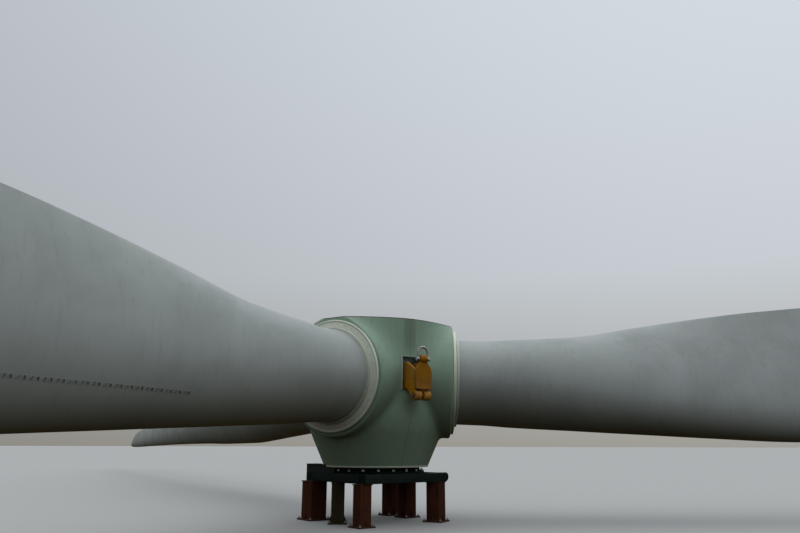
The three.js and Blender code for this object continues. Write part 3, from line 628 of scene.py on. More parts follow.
def bare_steel(name, slot, colour, stain, roughness, metallic=0.85):
    """Galvanised or oiled steel: spangle-like mottling, stains and small scratches."""
    paint = Material(name, slot, metallic)
    cells = paint.add("TexVoronoi", {"Vector": paint.point, "Scale": 70.0}, "Color")
    paint.tones(paint.ramp(paint.axis(cells, "X"), 0, 1), colour, 0.82, 1.15)
    blotch = paint.noise(9, 5, 0.65, 0.5)
    paint.cover(paint.ramp(blotch, 0.5, 0.75, 0, 0.7), stain)
    scratches = paint.noise(40, 2, 0.5, stretch=(1, 1, 30))
    return paint.finish(paint.ramp(blotch, 0.35, 0.7, *roughness),
                        [(scratches, 0.08, 0.0006), (blotch, 0.1, 0.002)])


def laminate(name, slot, colour):
    """The raw inside of a glass-fibre shell: woven cloth under resin, patchy and half matt."""
    paint = Material(name, slot)
    wave = {"Vector": paint.point, "Scale": 26.0, "Distortion": 1.0}
    cloth = paint.add("TexWave", wave, "Fac", bands_direction="Z")
    blotch = paint.noise(2.6, 5, 0.6, 0.6)
    paint.tones(paint.ramp(blotch, 0.3, 0.7), colour, 0.8, 1.12)
    paint.cover(paint.times(cloth, 0.12), scaled(colour, 0.6))
    return paint.finish(paint.ramp(blotch, 0.3, 0.7, 0.35, 0.7), [(cloth, 0.2, 0.002), (blotch, 0.3, 0.01)])


def rubber(name, slot, colour):
    """Hazy rubber or plastic."""
    paint = Material(name, slot, specular=0.3)
    haze = paint.noise(12, 4, 0.6)
    paint.tones(paint.ramp(haze, 0.35, 0.75), colour, 1, 2.2, 0.01)
    return paint.finish(paint.ramp(haze, 0.3, 0.7, 0.6, 0.85), [(paint.noise(180, 2, 0.5), 0.15, 0.001)])


DIRT = (0.13, 0.122, 0.06)
# the spinner's dirt colour, also its painted shade low down and over the seams
MOSS_DIRT_AND_SHADE = (0.15, 0.185, 0.115)
YELLOW_RUST = (0.16, 0.05, 0.008)
YELLOW_DUST = (0.26, 0.14, 0.02)
blade_paint = gelcoat("weathered blade gelcoat", "blade_gelcoat", (0.42, 0.46, 0.445), DIRT, 0.16)
# a darker copy of the blade gelcoat, as painted shade on the first blade
shaded_blade_paint = gelcoat("shaded blade gelcoat", "blade_gelcoat", (0.375, 0.41, 0.4), DIRT, 0.2)
collar_paint = gelcoat("cream grey gelcoat", "blade_gelcoat", (0.6, 0.65, 0.56), DIRT, 0.1)
spinner_paint = gelcoat("weathered green gelcoat", "spinner_gelcoat", (0.292, 0.42, 0.315), MOSS_DIRT_AND_SHADE, 0.3,
                        specular=0.2, foot_shade_and_dirt=0.12)
lip_paint = gelcoat("cream gelcoat", "port_lip", (0.83, 0.88, 0.74), DIRT, 0.08)
hinge_paint = gelcoat("faded hinge paint", "port_lip", (0.52, 0.57, 0.49), DIRT, 0.3)
seal_paint = gelcoat("cream sheet", "root_seal", (0.86, 0.9, 0.75), DIRT, 0.08, (0.5, 0.65))
sealant = gelcoat("green sealant", "root_seal", (0.2, 0.27, 0.215), DIRT, 0.3, (0.55, 0.7))
# black rubber for the seals, also used as painted shade in the gap behind each port's lip
black_rubber_and_shade = rubber("weathered black rubber and painted shade", "root_seal", (0.018, 0.02, 0.02))
fin_plastic = rubber("grey fin plastic", "root_seal", (0.14, 0.15, 0.14))
shell_inside = laminate("raw laminate", "spinner_gelcoat", (0.13, 0.14, 0.1))
hub_paint = painted_steel("grey-green casting paint", "hub_paint", (0.018, 0.036, 0.034), (0.06, 0.03, 0.016),
                          (0.1, 0.1, 0.085), wear=0.3, rust_amount=0, dust_amount=0.12, specular=0.2)
lifting_paint = painted_steel("worn yellow paint", "lifting_paint", (0.57, 0.245, 0.001), YELLOW_RUST,
                              YELLOW_DUST, wear=0.45, rust_amount=0.14, dust_amount=0.12, specular=0.07)
# a darker copy of the bracket's yellow paint, as painted shade on the arm, with a little more rust
shaded_arm_paint = painted_steel("shaded scuffed yellow paint", "lifting_paint", (0.37, 0.16, 0.001), YELLOW_RUST,
                          YELLOW_DUST, wear=0.45, rust_amount=0.2, dust_amount=0.12, specular=0.07)
stand_paint = painted_steel("dusty dark green paint", "stand_paint", (0.002, 0.0135, 0.0095),
                            (0.02, 0.012, 0.007), (0.02, 0.027, 0.018), wear=0.2, rust_amount=0.06,
                            dust_amount=0.25, specular=0.03)
leg_paint = painted_steel("muddy red-brown primer", "leg_paint", (0.073, 0.019, 0.0065), (0.05, 0.018, 0.006),
                          (0.1, 0.065, 0.035), wear=0.15, rust_amount=0.25, dust_amount=0.4, specular=0.05,
                          roughness=0.8)
olive_paint = painted_steel("muddy olive primer", "leg_paint", (0.045, 0.034, 0.014), (0.05, 0.022, 0.009),
                            (0.1, 0.07, 0.035), wear=0.15, rust_amount=0.3, dust_amount=0.4, specular=0.05,
                            roughness=0.8)
bearing_steel = bare_steel("oiled bearing steel", "bearing_steel", (0.3, 0.31, 0.32), (0.1, 0.08, 0.05),
                           (0.3, 0.55))
galvanised = bare_steel("dull galvanised steel", "galvanised_steel", (0.42, 0.42, 0.4), (0.2, 0.17, 0.12),
                        (0.4, 0.62))
bright_bolt = bare_steel("bright zinc bolts", "galvanised_steel", (0.66, 0.66, 0.62), (0.3, 0.26, 0.2),
                         (0.3, 0.5))
# rusty steel for the pivot pin, also used as painted shade on the arm's tongue
rusty_steel_and_shade = bare_steel("rusty pin steel and painted shade", "galvanised_steel", (0.24, 0.11, 0.05), (0.09, 0.035, 0.015),
                         (0.55, 0.8), metallic=0.3)


# spinner

TAPER_LENGTH = math.hypot(TAPER_TOP_Z - NOSE_Z, NOSE_RADIUS - SPINNER_RADIUS)
TAPER_NORMAL = ((TAPER_TOP_Z - NOSE_Z) / TAPER_LENGTH, (NOSE_RADIUS - SPINNER_RADIUS) / TAPER_LENGTH)
DIP_COS = math.cos(math.radians(BLADE_DIP))
DIP_SIN = math.sin(math.radians(BLADE_DIP))


def blend_height(a, b, width):
    near = np.maximum(1 - np.abs(a - b) / width, 0)
    return near * near * width / 4


def spinner_field(x, y, z):
    """Below zero inside the spinner, for points in a blade's own third."""
    radius = np.hypot(x, y)
    side = radius - (SPINNER_RADIUS + (RIM_RADIUS - SPINNER_RADIUS) * np.maximum(z, 0) / RIM_Z)
    taper = (radius - SPINNER_RADIUS) * TAPER_NORMAL[0] + (z - TAPER_TOP_Z) * TAPER_NORMAL[1]
    body = np.maximum(side, taper) + blend_height(side, taper, TAPER_BLEND)
    along = x * DIP_COS - (z - BLADE_AXES_Z) * DIP_SIN
    up = x * DIP_SIN + (z - BLADE_AXES_Z) * DIP_COS
    boss = np.sqrt(np.minimum(along, 0) ** 2 + y * y + (up + BOSS_DROP) ** 2) - BOSS_RADIUS
    height = np.clip((z - CREASE_Z) / (RIM_Z - CREASE_Z), 0, 1)
    blend = CREASE_BLEND + (RIM_BLEND - CREASE_BLEND) * height ** 2
    return np.minimum(body, boss) - blend_height(body, boss, blend)


def blade_field(x, y, z):
    """The spinner's field for points in the blade's own dipping frame."""
    return spinner_field(x * DIP_COS + z * DIP_SIN, y, BLADE_AXES_Z + z * DIP_COS - x * DIP_SIN)


def halved(test, low, high, count):
    """The largest value between low and high where test stays below zero, for each of count cases."""
    low = np.full(count, float(low))
    high = np.full(count, float(high))
    for _ in range(40):
        middle = (low + high) / 2
        inside = test(middle) < 0
        low = np.where(inside, middle, low)
        high = np.where(inside, high, middle)
    return low


def spinner_surface(columns=180, rows=110, last_degrees=112):
    """The outside of a third as a grid in the blade's frame, from the port's hole outwards."""
    sin, cos = np.sin(turns(columns)), np.cos(turns(columns))
    edge_x = PORT_FACE - PORT_EDGE_ROUND
    edge = halved(lambda r: blade_field(edge_x, r * sin, r * cos), 1, 1.5, columns)
    face = edge - PORT_EDGE_ROUND - PORT_HOLE_RADIUS
    rings = [(PORT_FACE, PORT_HOLE_RADIUS + face * share) for share in (0, 0.5)]
    rings += [(x, edge - PORT_EDGE_ROUND + y) for x, y in arc(edge_x, 0, PORT_EDGE_ROUND, 0, 90, 5)]
    loops = [np.stack([np.full(columns, x), radius * sin, radius * cos], 1) for x, radius in rings]
    first = np.arctan2(edge, edge_x)
    for row in range(1, rows):
        angle = first + (math.radians(last_degrees) - first) * (row / (rows - 1)) ** 1.15
        direction = np.stack([np.cos(angle), np.sin(angle) * sin, np.sin(angle) * cos], 1)
        reach = halved(lambda t: blade_field(*(direction * t[:, None]).T), 0.5, SHELL_REACH, columns)
        loops.append(direction * reach[:, None])
    return dipped(skin_part(loops, "open"))


def shell_third():
    """One third of the shell's outside, cut at the seams, the rim and the nose."""
    mesh = mesh_of("shell third", spinner_surface())
    edit = bmesh.new()
    edit.from_mesh(mesh)
    planes = [((0, 0, RIM_Z), (0, 0, 1)), ((0, 0, NOSE_Z), (0, 0, -1))]
    # the seams are 60 degrees to either side, so their planes face 90 degrees further round
    for side in (-150, 150):
        across = Vector((math.cos(math.radians(side)), math.sin(math.radians(side)), 0))
        planes.append((-across * SEAM_HALF_GAP, across))
    for point, normal in planes:
        everything = edit.verts[:] + edit.edges[:] + edit.faces[:]
        bmesh.ops.bisect_plane(edit, geom=everything, dist=MERGE_DISTANCE, plane_co=Vector(point) * SCALE,
                               plane_no=normal, clear_outer=True)
    loose = [vert for vert in edit.verts if not vert.link_faces]
    bmesh.ops.delete(edit, geom=loose, context="VERTS")
    bmesh.ops.recalc_face_normals(edit, faces=edit.faces)
    if sum(face.normal.dot(face.calc_center_median()) for face in edit.faces) < 0:
        bmesh.ops.reverse_faces(edit, faces=edit.faces)
    edit.to_mesh(mesh)
    edit.free()
    return mesh


def hatch_outline(margin, radius, steps):
    """Points of (across, up) round the hatch, moved outwards by the margin."""
    return rounded_outline(HATCH_LEFT_Y - margin, HATCH_RIGHT_Y + margin,
                           HATCH_BOTTOM_Z - margin, HATCH_TOP_Z + margin, radius, steps)


def shell_segments():
    """The three shell segments, with the hatch cut through the two that meet in it."""
    third = shell_third()
    block = along_x(prism_part(hatch_outline(0, 0.02, 4), HATCH_CUT_START, HATCH_CUT_END))
    tool = link_object("hatch tool", mesh_of("hatch tool", turned(block, HATCH_AZIMUTH)))
    for number, azimuth in enumerate(BLADE_AZIMUTHS, 1):
        mesh = third.copy()
        mesh.transform(Matrix.Rotation(math.radians(azimuth), 4, "Z"))
        mesh.materials.append(spinner_paint.made)
        mesh.materials.append(shell_inside.made)
        draft = link_object("shell draft", mesh)
        modify(draft, "SOLIDIFY", thickness=SHELL_WALL * SCALE, offset=-1, use_even_offset=True,
               material_offset=1)
        if math.cos(math.radians(azimuth - HATCH_AZIMUTH)) > 0:
            carve(draft, tool)
        add_mesh(f"shell_segment_{number}", baked(draft), [spinner_paint, shell_inside],
                 f"spinner_segment_{number}", angle=38)
    bpy.data.objects.remove(tool)


def outline_at(z, degrees):
    """The spinner's outer radius at a height, for azimuths within a third."""
    cos, sin = np.cos(np.radians(degrees)), np.sin(np.radians(degrees))
    radius = halved(lambda r: spinner_field(r * cos, r * sin, np.full(len(cos), z)), 0.6, 2.4, len(cos))
    return np.minimum(radius, (PORT_FACE + (z - BLADE_AXES_Z) * DIP_SIN) / (cos * DIP_COS))


def swept_band(rows, degrees):
    """A closed profile of (radius at each azimuth, z) swept round the rotor axis."""
    cos, sin = np.cos(np.radians(degrees)), np.sin(np.radians(degrees))
    rows = [np.stack([radius * cos, radius * sin, np.full(len(cos), z)], 1) for radius, z in rows]
    return skin_part(np.stack(rows, 1), "capped")


def rim_and_nose():
    """The shell's inward flanges at rim and nose, the rim's bulb seal and the nose's pale band."""
    seam = math.degrees(SEAM_HALF_GAP / RIM_RADIUS)
    degrees = np.linspace(seam - 60, 60 - seam, 121)
    rim = outline_at(RIM_Z, degrees)
    middle = SHELL_WALL / 2
    top = RIM_Z - 0.001
    under = top - FLANGE_THICK
    flange = [(RIM_OPENING_RADIUS, under), (outline_at(RIM_Z - FLANGE_THICK, degrees) - middle, under),
              (rim - middle, top), (RIM_OPENING_RADIUS, top)]
    add_thirds("rim_flange", swept_band(flange, degrees), shell_inside, bevel=0.003)
    bulb = [(rim - 0.04, RIM_Z), (rim - 0.006, RIM_Z)]
    bulb += [(rim - 0.023 + 0.017 * x, RIM_Z + 0.004 + 0.014 * y) for x, y in arc(0, 0, 1, 0, 180, 8)]
    add_thirds("rim_bulb_seal", swept_band(bulb, degrees), black_rubber_and_shade)
    nose = outline_at(NOSE_Z, degrees)
    foot = NOSE_Z + 0.001
    shelf = NOSE_Z + FLANGE_THICK
    outer = nose.mean() - middle
    flange = [(outer, foot), (outer, shelf), (NOSE_OPENING_RADIUS, shelf), (NOSE_OPENING_RADIUS, foot)]
    add_thirds("nose_flange_ring", swept_band(flange, degrees), shell_inside, bevel=0.003)
    band = [(-0.006, -0.004), (0.004, -0.004), (0.007, 0.002), (0.016, 0.026), (0.012, 0.03), (-0.006, 0.03)]
    band = [(nose + x, NOSE_Z + y) for x, y in band]
    add_thirds("nose_edge_band", swept_band(band, degrees), lip_paint)


def seam_strips():
    """A sealant line over each seam between two segments, and the bolted seam flanges inside."""
    heights = np.linspace(NOSE_Z + 0.035, RIM_Z - 0.005, 90)
    line = [(outline_at(z, np.array([60.0]))[0], z) for z in heights]
    bolt = shifted(along_y(bolt_part(0.022, 0.01)), y=SEAM_HALF_GAP + SEAM_PLATE_THICK)
    for number, azimuth in enumerate(SEAM_AZIMUTHS, 1):
        runs = [line]
        if azimuth == HATCH_AZIMUTH:
            runs = [[(x, z) for x, z in line if z < HATCH_BOTTOM_Z - 0.03],
                    [(x, z) for x, z in line if z > HATCH_TOP_Z + 0.03]]
        beads = []
        flanges = []
        bolts = []
        for run in runs:
            beads.append(tube_part([(x - 0.004, 0, z) for x, z in run], 0.008, 8))
            outer = [(x - SHELL_WALL, z) for x, z in run]
            inner = [(x - SEAM_PLATE_REACH, z) for x, z in outer[::-1]]
            for y in (SEAM_HALF_GAP, -SEAM_HALF_GAP - SEAM_PLATE_THICK):
                flanges.append(side_plate(outer + inner, y, y + SEAM_PLATE_THICK))
            for x, z in outer[6:-4:7]:
                bolts += [shifted(turned(bolt, turn), x - 0.045, 0, z) for turn in (0, 180)]
        add_piece(f"seam_sealant_{number}", joined(beads), sealant, azimuth=azimuth)
        add_piece(f"seam_flanges_{number}", joined(flanges), shell_inside, azimuth=azimuth)
        add_piece(f"seam_bolts_{number}", joined(bolts), galvanised, azimuth=azimuth)


def port_rings():
    """The raised lip round each port, the sheet that seals the gap to the blade with its screws,
    and the collar on the blade that sheds rain."""
    edge = PORT_HOLE_RADIUS - 0.03
    lip = lathe_part([
        (edge, LIP_START + 0.012), (PORT_HOLE_RADIUS, LIP_START), (LIP_RADIUS - 0.01, LIP_START),
        *arc(LIP_RADIUS - 0.02, LIP_END - 0.02, 0.02, 0, 90, 6),
        *arc(LIP_RADIUS - 0.026, LIP_END - 0.012, 0.012, 90, 160, 4),
        (LIP_RADIUS - 0.044, LIP_END - 0.014), (edge, LIP_END - 0.012),
    ], PORT_SIDES)
    add_thirds("lip", at_port(lip), lip_paint, "port_lip")
    # a black ring fills the gap between the port face and the lip, as painted shade in that gap
    shadow_ring = rounded_ring(PORT_HOLE_RADIUS, LIP_RADIUS - 0.02, PORT_FACE - 0.002, LIP_START + 0.002, 0.004,
                         PORT_SIDES)
    add_thirds("lip_shadow_ring", at_port(shadow_ring), black_rubber_and_shade)
    edge = PORT_HOLE_RADIUS - 0.028
    inner = SEAL_INNER_RADIUS
    sheet = [
        (edge, -0.02), (edge, -0.01), (edge - 0.004, -0.006), (SEAL_MIDDLE_RADIUS, 0.001),
        (inner + 0.03, 0.004), (inner + 0.022, 0.012), (inner + 0.006, 0.012),
        (inner, 0.004), (inner, -0.008), (SEAL_MIDDLE_RADIUS, -0.012),
    ]
    sheet = lathe_part([(radius, LIP_END + x) for radius, x in sheet], PORT_SIDES)
    add_thirds("seal_sheet", at_port(sheet), seal_paint, "root_seal")
    wiper = rounded_ring(ROOT_RADIUS + 0.004, inner + 0.002, LIP_END - 0.016, LIP_END + 0.006, 0.005)
    add_thirds("seal_wiper", at_port(wiper), black_rubber_and_shade)
    screw = joined([cylinder_part(0.01, 0, 0.002, 14, 0.001), cylinder_part(0.006, 0.002, 0.006, 12, 0.002)])
    screws = repeated(screw, SEAL_SCREW_CIRCLE, 36, z=LIP_END - 0.004)
    add_thirds("seal_screws", at_port(screws), galvanised)
    collar = rounded_ring(ROOT_RADIUS - 0.004, COLLAR_RADIUS, COLLAR_START, COLLAR_END, 0.014, steps=4)
    bead = rounded_ring(ROOT_RADIUS - 0.003, ROOT_RADIUS + 0.012, COLLAR_END - 0.002, COLLAR_END + 0.012,
                        0.005, steps=3)
    add_thirds("collar", at_port(joined([collar, bead])), collar_paint, "rain_collar", BLADE_BODIES)


# blades

def smooth_stations(distances):
    """The stations' values as curves without overshoot, at the given distances."""
    table = np.array(BLADE_STATIONS, float)
    knots, values = table[:, 0], table[:, 1:]
    steps = np.diff(knots)[:, None]
    slopes = np.diff(values, axis=0) / steps
    same = slopes[:-1] * slopes[1:] > 0
    tangents = np.zeros(values.shape)
    tangents[1:-1][same] = 2 / (1 / slopes[:-1][same] + 1 / slopes[1:][same])
    place = np.clip(np.searchsorted(knots, distances, side="right") - 1, 0, len(steps) - 1)
    width = steps[place]
    share = np.clip((distances - knots[place])[:, None] / width, 0, 1)
    rest = 1 - share
    before = values[place] * (1 + 2 * share) * rest ** 2 + tangents[place] * width * share * rest ** 2
    after = values[place + 1] * share ** 2 * (3 - 2 * share) - tangents[place + 1] * width * share ** 2 * rest
    return before + after


def section_points(distance, station, angles):
    """Points of a section, with the chord upright and the leading edge down."""
    chord, thick, ahead, twist = station
    span = np.clip((thick - AEROFOIL_THICK) / (1 - AEROFOIL_THICK), 0, 1)
    round_share = span * span * (3 - 2 * span)
    s = (1 + np.cos(angles)) / 2
    side = np.where(np.sin(angles) >= 0, 1.0, -1.0)
    front = 0.2969 * np.sqrt(s) - 0.126 * s - 0.3516 * s ** 2
    profile = 5 * thick * (front + 0.2843 * s ** 3 - 0.1036 * s ** 4)
    circle = np.sqrt(np.maximum(0, s - s * s)) * thick
    half = (profile + EDGE_HALF) * (1 - round_share) + circle * round_share
    camber = CAMBER * 4 * s * (1 - s) * (1 - round_share)
    along = (s - ahead) * chord
    across = (camber + side * half) * chord
    cos, sin = math.cos(math.radians(twist)), math.sin(math.radians(twist))
    return np.stack([np.full(len(s), distance), along * sin + across * cos, along * cos - across * sin], 1)


def blade_surface(sides=104):
    start = BEARING_START + BEARING_INNER_DEPTH + TOUCH
    tip = TIP_X - (TIP_X - TIP_START_X) * np.cos(np.linspace(0, math.pi / 2, 24)[1:])
    distances = [*np.linspace(start, SHOULDER_X, 84), *np.linspace(SHOULDER_X, TIP_START_X, 60)[1:], *tip]
    stations = smooth_stations(np.maximum(distances, BLADE_STATIONS[0][0]))
    return skin_part([section_points(x, one, turns(sides)) for x, one in zip(distances, stations)], "capped")


def surface_point(distance, share):
    """The point on a blade's suction side at a share of its chord."""
    station = smooth_stations(np.array([distance]))[0]
    return section_points(distance, station, np.array([math.acos(2 * share - 1)]))[0]


def surface_frame(distance, share):
    """A point on a blade's suction side, with its axes across, leading and outwards."""
    here = surface_point(distance, share)
    span = surface_point(distance + 0.02, share) - here
    lead = surface_point(distance, share - 0.004) - here
    lead /= np.linalg.norm(lead)
    normal = np.cross(span, lead)
    normal *= math.copysign(1, normal[1]) / np.linalg.norm(normal)
    return here, np.stack([np.cross(lead, normal), lead, normal])


def vortex_fins():
    """Small upright fins in a row along the thick part of the suction side, turned in pairs, and
    the pads that hold them."""
    fin = along_x(prism_part(FIN_OUTLINE, -FIN_THICK / 2, FIN_THICK / 2))
    pad = prism_part(rounded_outline(-0.03, 0.03, -0.03, 0.03, 0.012), -0.004, 0.002)
    fins = []
    pads = []
    for index, place in enumerate(np.arange(FIN_START, FIN_END, FIN_PITCH)):
        here, axes = surface_frame(place, FIN_SHARE)
        points, faces = turned(fin, FIN_TURN * (-1) ** index)
        fins.append((points @ axes + here, faces))
        pads.append((pad[0] @ axes + here, pad[1]))
    add_thirds("vortex_fins", dipped(joined(fins)), fin_plastic, bodies=BLADE_BODIES)
    add_thirds("vortex_pads", dipped(joined(pads)), blade_paint, bodies=BLADE_BODIES)


def blade_shells():
    surface = dipped(blade_surface())
    # the first blade wears the darker copy, as painted shade
    paints = (shaded_blade_paint, blade_paint, blade_paint)
    for number, paint, body, azimuth in zip((1, 2, 3), paints, BLADE_BODIES, BLADE_AZIMUTHS):
        add_piece(f"blade_shell_{number}", surface, paint, f"blade_{number}", body, azimuth, angle=50)


# hub casting and pitch bearings

def hub_casting():
    """The cast body with soft fillets, from a voxel skin over its rough form."""
    face = BLADE_FLANGE_FACE - 0.03
    arm = at_port(joined([
        cylinder_part(BLADE_NECK_RADIUS, 0, face, 64),
        cylinder_part(BLADE_FLANGE_RADIUS - 0.02, BLADE_FLANGE_BACK, face, 64),
    ]))
    pad = box_part(0.8, PAD_FACE - 0.02, -PAD_HALF_WIDTH, PAD_HALF_WIDTH, -PAD_HALF_HEIGHT, PAD_HALF_HEIGHT)
    top = MAIN_FLANGE_Z - 0.04
    foot = NOSE_FLANGE_Z + 0.04
    rough = joined([
        lathe_part(arc(0, 0, HUB_BALL_RADIUS, -90, 90, 24), 48, "open"),
        cylinder_part(HUB_NECK_RADIUS, foot, top, 64),
        cylinder_part(MAIN_FLANGE_RADIUS - 0.02, MAIN_FLANGE_Z - MAIN_FLANGE_THICK, top, 64),
        cylinder_part(NOSE_FLANGE_RADIUS - 0.02, foot, NOSE_FLANGE_Z + NOSE_FLANGE_THICK, 64),
        turned(shifted(pad, y=BRACKET_SIDE), HATCH_AZIMUTH),
        *[turned(arm, azimuth) for azimuth in BLADE_AZIMUTHS],
    ])
    draft = link_object("hub draft", mesh_of("hub draft", rough))
    modify(draft, "REMESH", mode="VOXEL", voxel_size=HUB_VOXEL * SCALE)
    modify(draft, "SMOOTH", factor=0.6, iterations=10)
    bore = mesh_of("bore tool", cylinder_part(HUB_BORE_RADIUS + 0.002, -1.6, 1.6, 72))
    tool = link_object("bore tool", bore)
    carve(draft, tool)
    add_mesh("hub_body", baked(draft), [hub_paint], "hub_casting", angle=50)
    bpy.data.objects.remove(tool)


def drilled_ring(inner, outer, z0, z1, circle, count, hole, sides=16):
    """A flat ring with a circle of through holes, made from one wedge for each hole."""
    holes = []
    edges = []
    for angle in turns(sides):
        cos, sin = math.cos(angle), math.sin(angle)
        holes.append((circle + hole * cos, hole * sin))
        across = cos / max(abs(cos), abs(sin))
        turn = math.pi / count * sin / max(abs(cos), abs(sin))
        radius = circle + (outer - circle if across > 0 else circle - inner) * across
        edges.append((radius * math.cos(turn), radius * math.sin(turn)))
    rings = ((holes, z0), (edges, z0), (edges, z1), (holes, z1))
    points, faces = skin_part([[(x, y, z) for x, y in loop] for loop, z in rings])
    # a wedge has no faces where it meets the next ones
    middles = turns(sides) + math.pi / sides
    walls = [face for face, angle in zip(faces[sides:], middles) if math.cos(2 * angle) > 0]
    return repeated((points, faces[:sides] + walls + faces[2 * sides:]), 0, count)


def hub_faces():
    """The machined flange rings with their bolt holes."""
    main = drilled_ring(HUB_BORE_RADIUS, MAIN_FLANGE_RADIUS, MAIN_FLANGE_Z - 0.05, MAIN_FLANGE_Z,
                        MAIN_BOLT_CIRCLE, 48, 0.021)
    add_piece("main_flange_face", main, bearing_steel, slot="hub_paint", bevel=0.003)
    nose = drilled_ring(HUB_BORE_RADIUS, NOSE_FLANGE_RADIUS, NOSE_FLANGE_Z, NOSE_FLANGE_Z + 0.05,
                        NOSE_BOLT_CIRCLE, 40, 0.02)
    add_piece("nose_flange_face", nose, bearing_steel, slot="hub_paint", bevel=0.003)
    blade = rounded_ring(BEARING_BORE_RADIUS - 0.06, BLADE_FLANGE_RADIUS, BLADE_FLANGE_FACE - 0.045,
                         BLADE_FLANGE_FACE, 0.006, 96)
    add_thirds("blade_flange_face", at_port(blade), hub_paint)


def pitch_bearings():
    end = BEARING_START + BEARING_OUTER_DEPTH
    split = BEARING_SPLIT_RADIUS - BEARING_CLEARANCE
    outer = rounded_ring(BEARING_SPLIT_RADIUS, BLADE_FLANGE_RADIUS, BEARING_START, end, 0.006)
    add_thirds("bearing_outer", at_port(outer), bearing_steel, "pitch_bearing_outer")
    nipple = joined([cylinder_part(0.011, 0, 0.012, 6), cylinder_part(0.006, 0.012, 0.03, 10, 0.002)])
    bolts = [repeated(bolt_part(0.03, 0.016), BEARING_BOLT_CIRCLE, 60, z=end),
             repeated(nipple, BLADE_FLANGE_RADIUS - 0.02, 12, 3, end)]
    add_thirds("bearing_bolts", at_port(joined(bolts)), galvanised)
    lip_seal = rounded_ring(split - 0.004, BEARING_SPLIT_RADIUS + 0.008, end - 0.012, end + 0.006, 0.005)
    add_thirds("bearing_lip_seal", at_port(lip_seal), black_rubber_and_shade)
    inner_end = BEARING_START + BEARING_INNER_DEPTH
    inner = rounded_ring(BEARING_BORE_RADIUS, split, BEARING_START, inner_end, 0.006)
    add_thirds("bearing_inner", at_port(inner), bearing_steel, "pitch_bearing_inner", BLADE_BODIES)


def rim_struts():
    """Struts from the main flange to the rim, with their bolts."""
    top = RIM_Z - FLANGE_THICK - TOUCH
    bottom = top - STRUT_HEIGHT
    half = STRUT_HALF_WIDTH
    start = MAIN_FLANGE_RADIUS + 0.004
    side = [(half, bottom), (half, top), (half - STRUT_WALL, top), (half - STRUT_WALL, bottom + STRUT_WALL)]
    channel = [(-half, bottom), *side, *[(-x, y) for x, y in side[:0:-1]]]
    shelf_z = top - 0.014
    strut = joined([
        along_x(prism_part(channel, start, STRUT_END)),
        box_part(start, start + 0.016, -half - 0.03, half + 0.03, bottom, MAIN_FLANGE_Z - 0.002),
        box_part(STRUT_END - 0.14, STRUT_END, -half, half, shelf_z, top),
    ])
    add_thirds("strut", strut, galvanised, "rim_strut", azimuths=SEAM_AZIMUTHS, bevel=0.003)
    bolt = bolt_part(0.024, 0.01)
    bolts = []
    for side in (-1, 1):
        bolts.append(hung(shifted(bolt, STRUT_END - 0.035, side * 0.035), shelf_z))
        bolts.append(shifted(along_x(bolt), start + 0.016, side * (half + 0.012), bottom + 0.03))
    add_thirds("strut_bolts", joined(bolts), bright_bolt, azimuths=SEAM_AZIMUTHS)


def nose_cone():
    """The cone that carries the nose, with its bolts."""
    top = NOSE_FLANGE_Z + NOSE_FLANGE_THICK
    foot = NOSE_Z + FLANGE_THICK + TOUCH
    cone = lathe_part([
        (NOSE_FLANGE_RADIUS + TOUCH, top), (NOSE_FLANGE_RADIUS + TOUCH, NOSE_FLANGE_Z),
        (0.84, NOSE_FLANGE_Z), (1.035, foot + 0.026), (1.05, foot), (1.09, foot),
        (1.09, foot + 0.016), (1.064, foot + 0.018), (1.05, foot + 0.034), (0.856, top),
    ], 96)
    add_piece("nose_cone_support", cone, galvanised, "nose_support_cone")
    bolts = repeated(bolt_part(0.02, 0.008), CONE_BOLT_CIRCLE, 36, 5, foot + 0.016)
    add_piece("nose_cone_bolts", bolts, bright_bolt)


# lifting gear

def add_lifting(name, parts, material, node=None, body=HUB_BODY, **look):
    """Adds a piece of the lifting gear, whose parts are made about Y = 0 in the hatch's frame."""
    add_piece(name, shifted(joined(parts), y=BRACKET_SIDE), material, node, body, HATCH_AZIMUTH, **look)


def across_pivot(radius, y0, y1, sides=48, chamfer=0.004):
    """A cylinder on the pivot's axis."""
    return shifted(along_y(cylinder_part(radius, y0, y1, sides, chamfer)), PIVOT_X, 0, PIVOT_Z)


def across_lug(*sizes):
    """A cylinder on the shackle's axis, from the same values."""
    return shifted(across_pivot(*sizes), LUG_X - PIVOT_X, 0, LUG_Z - PIVOT_Z)


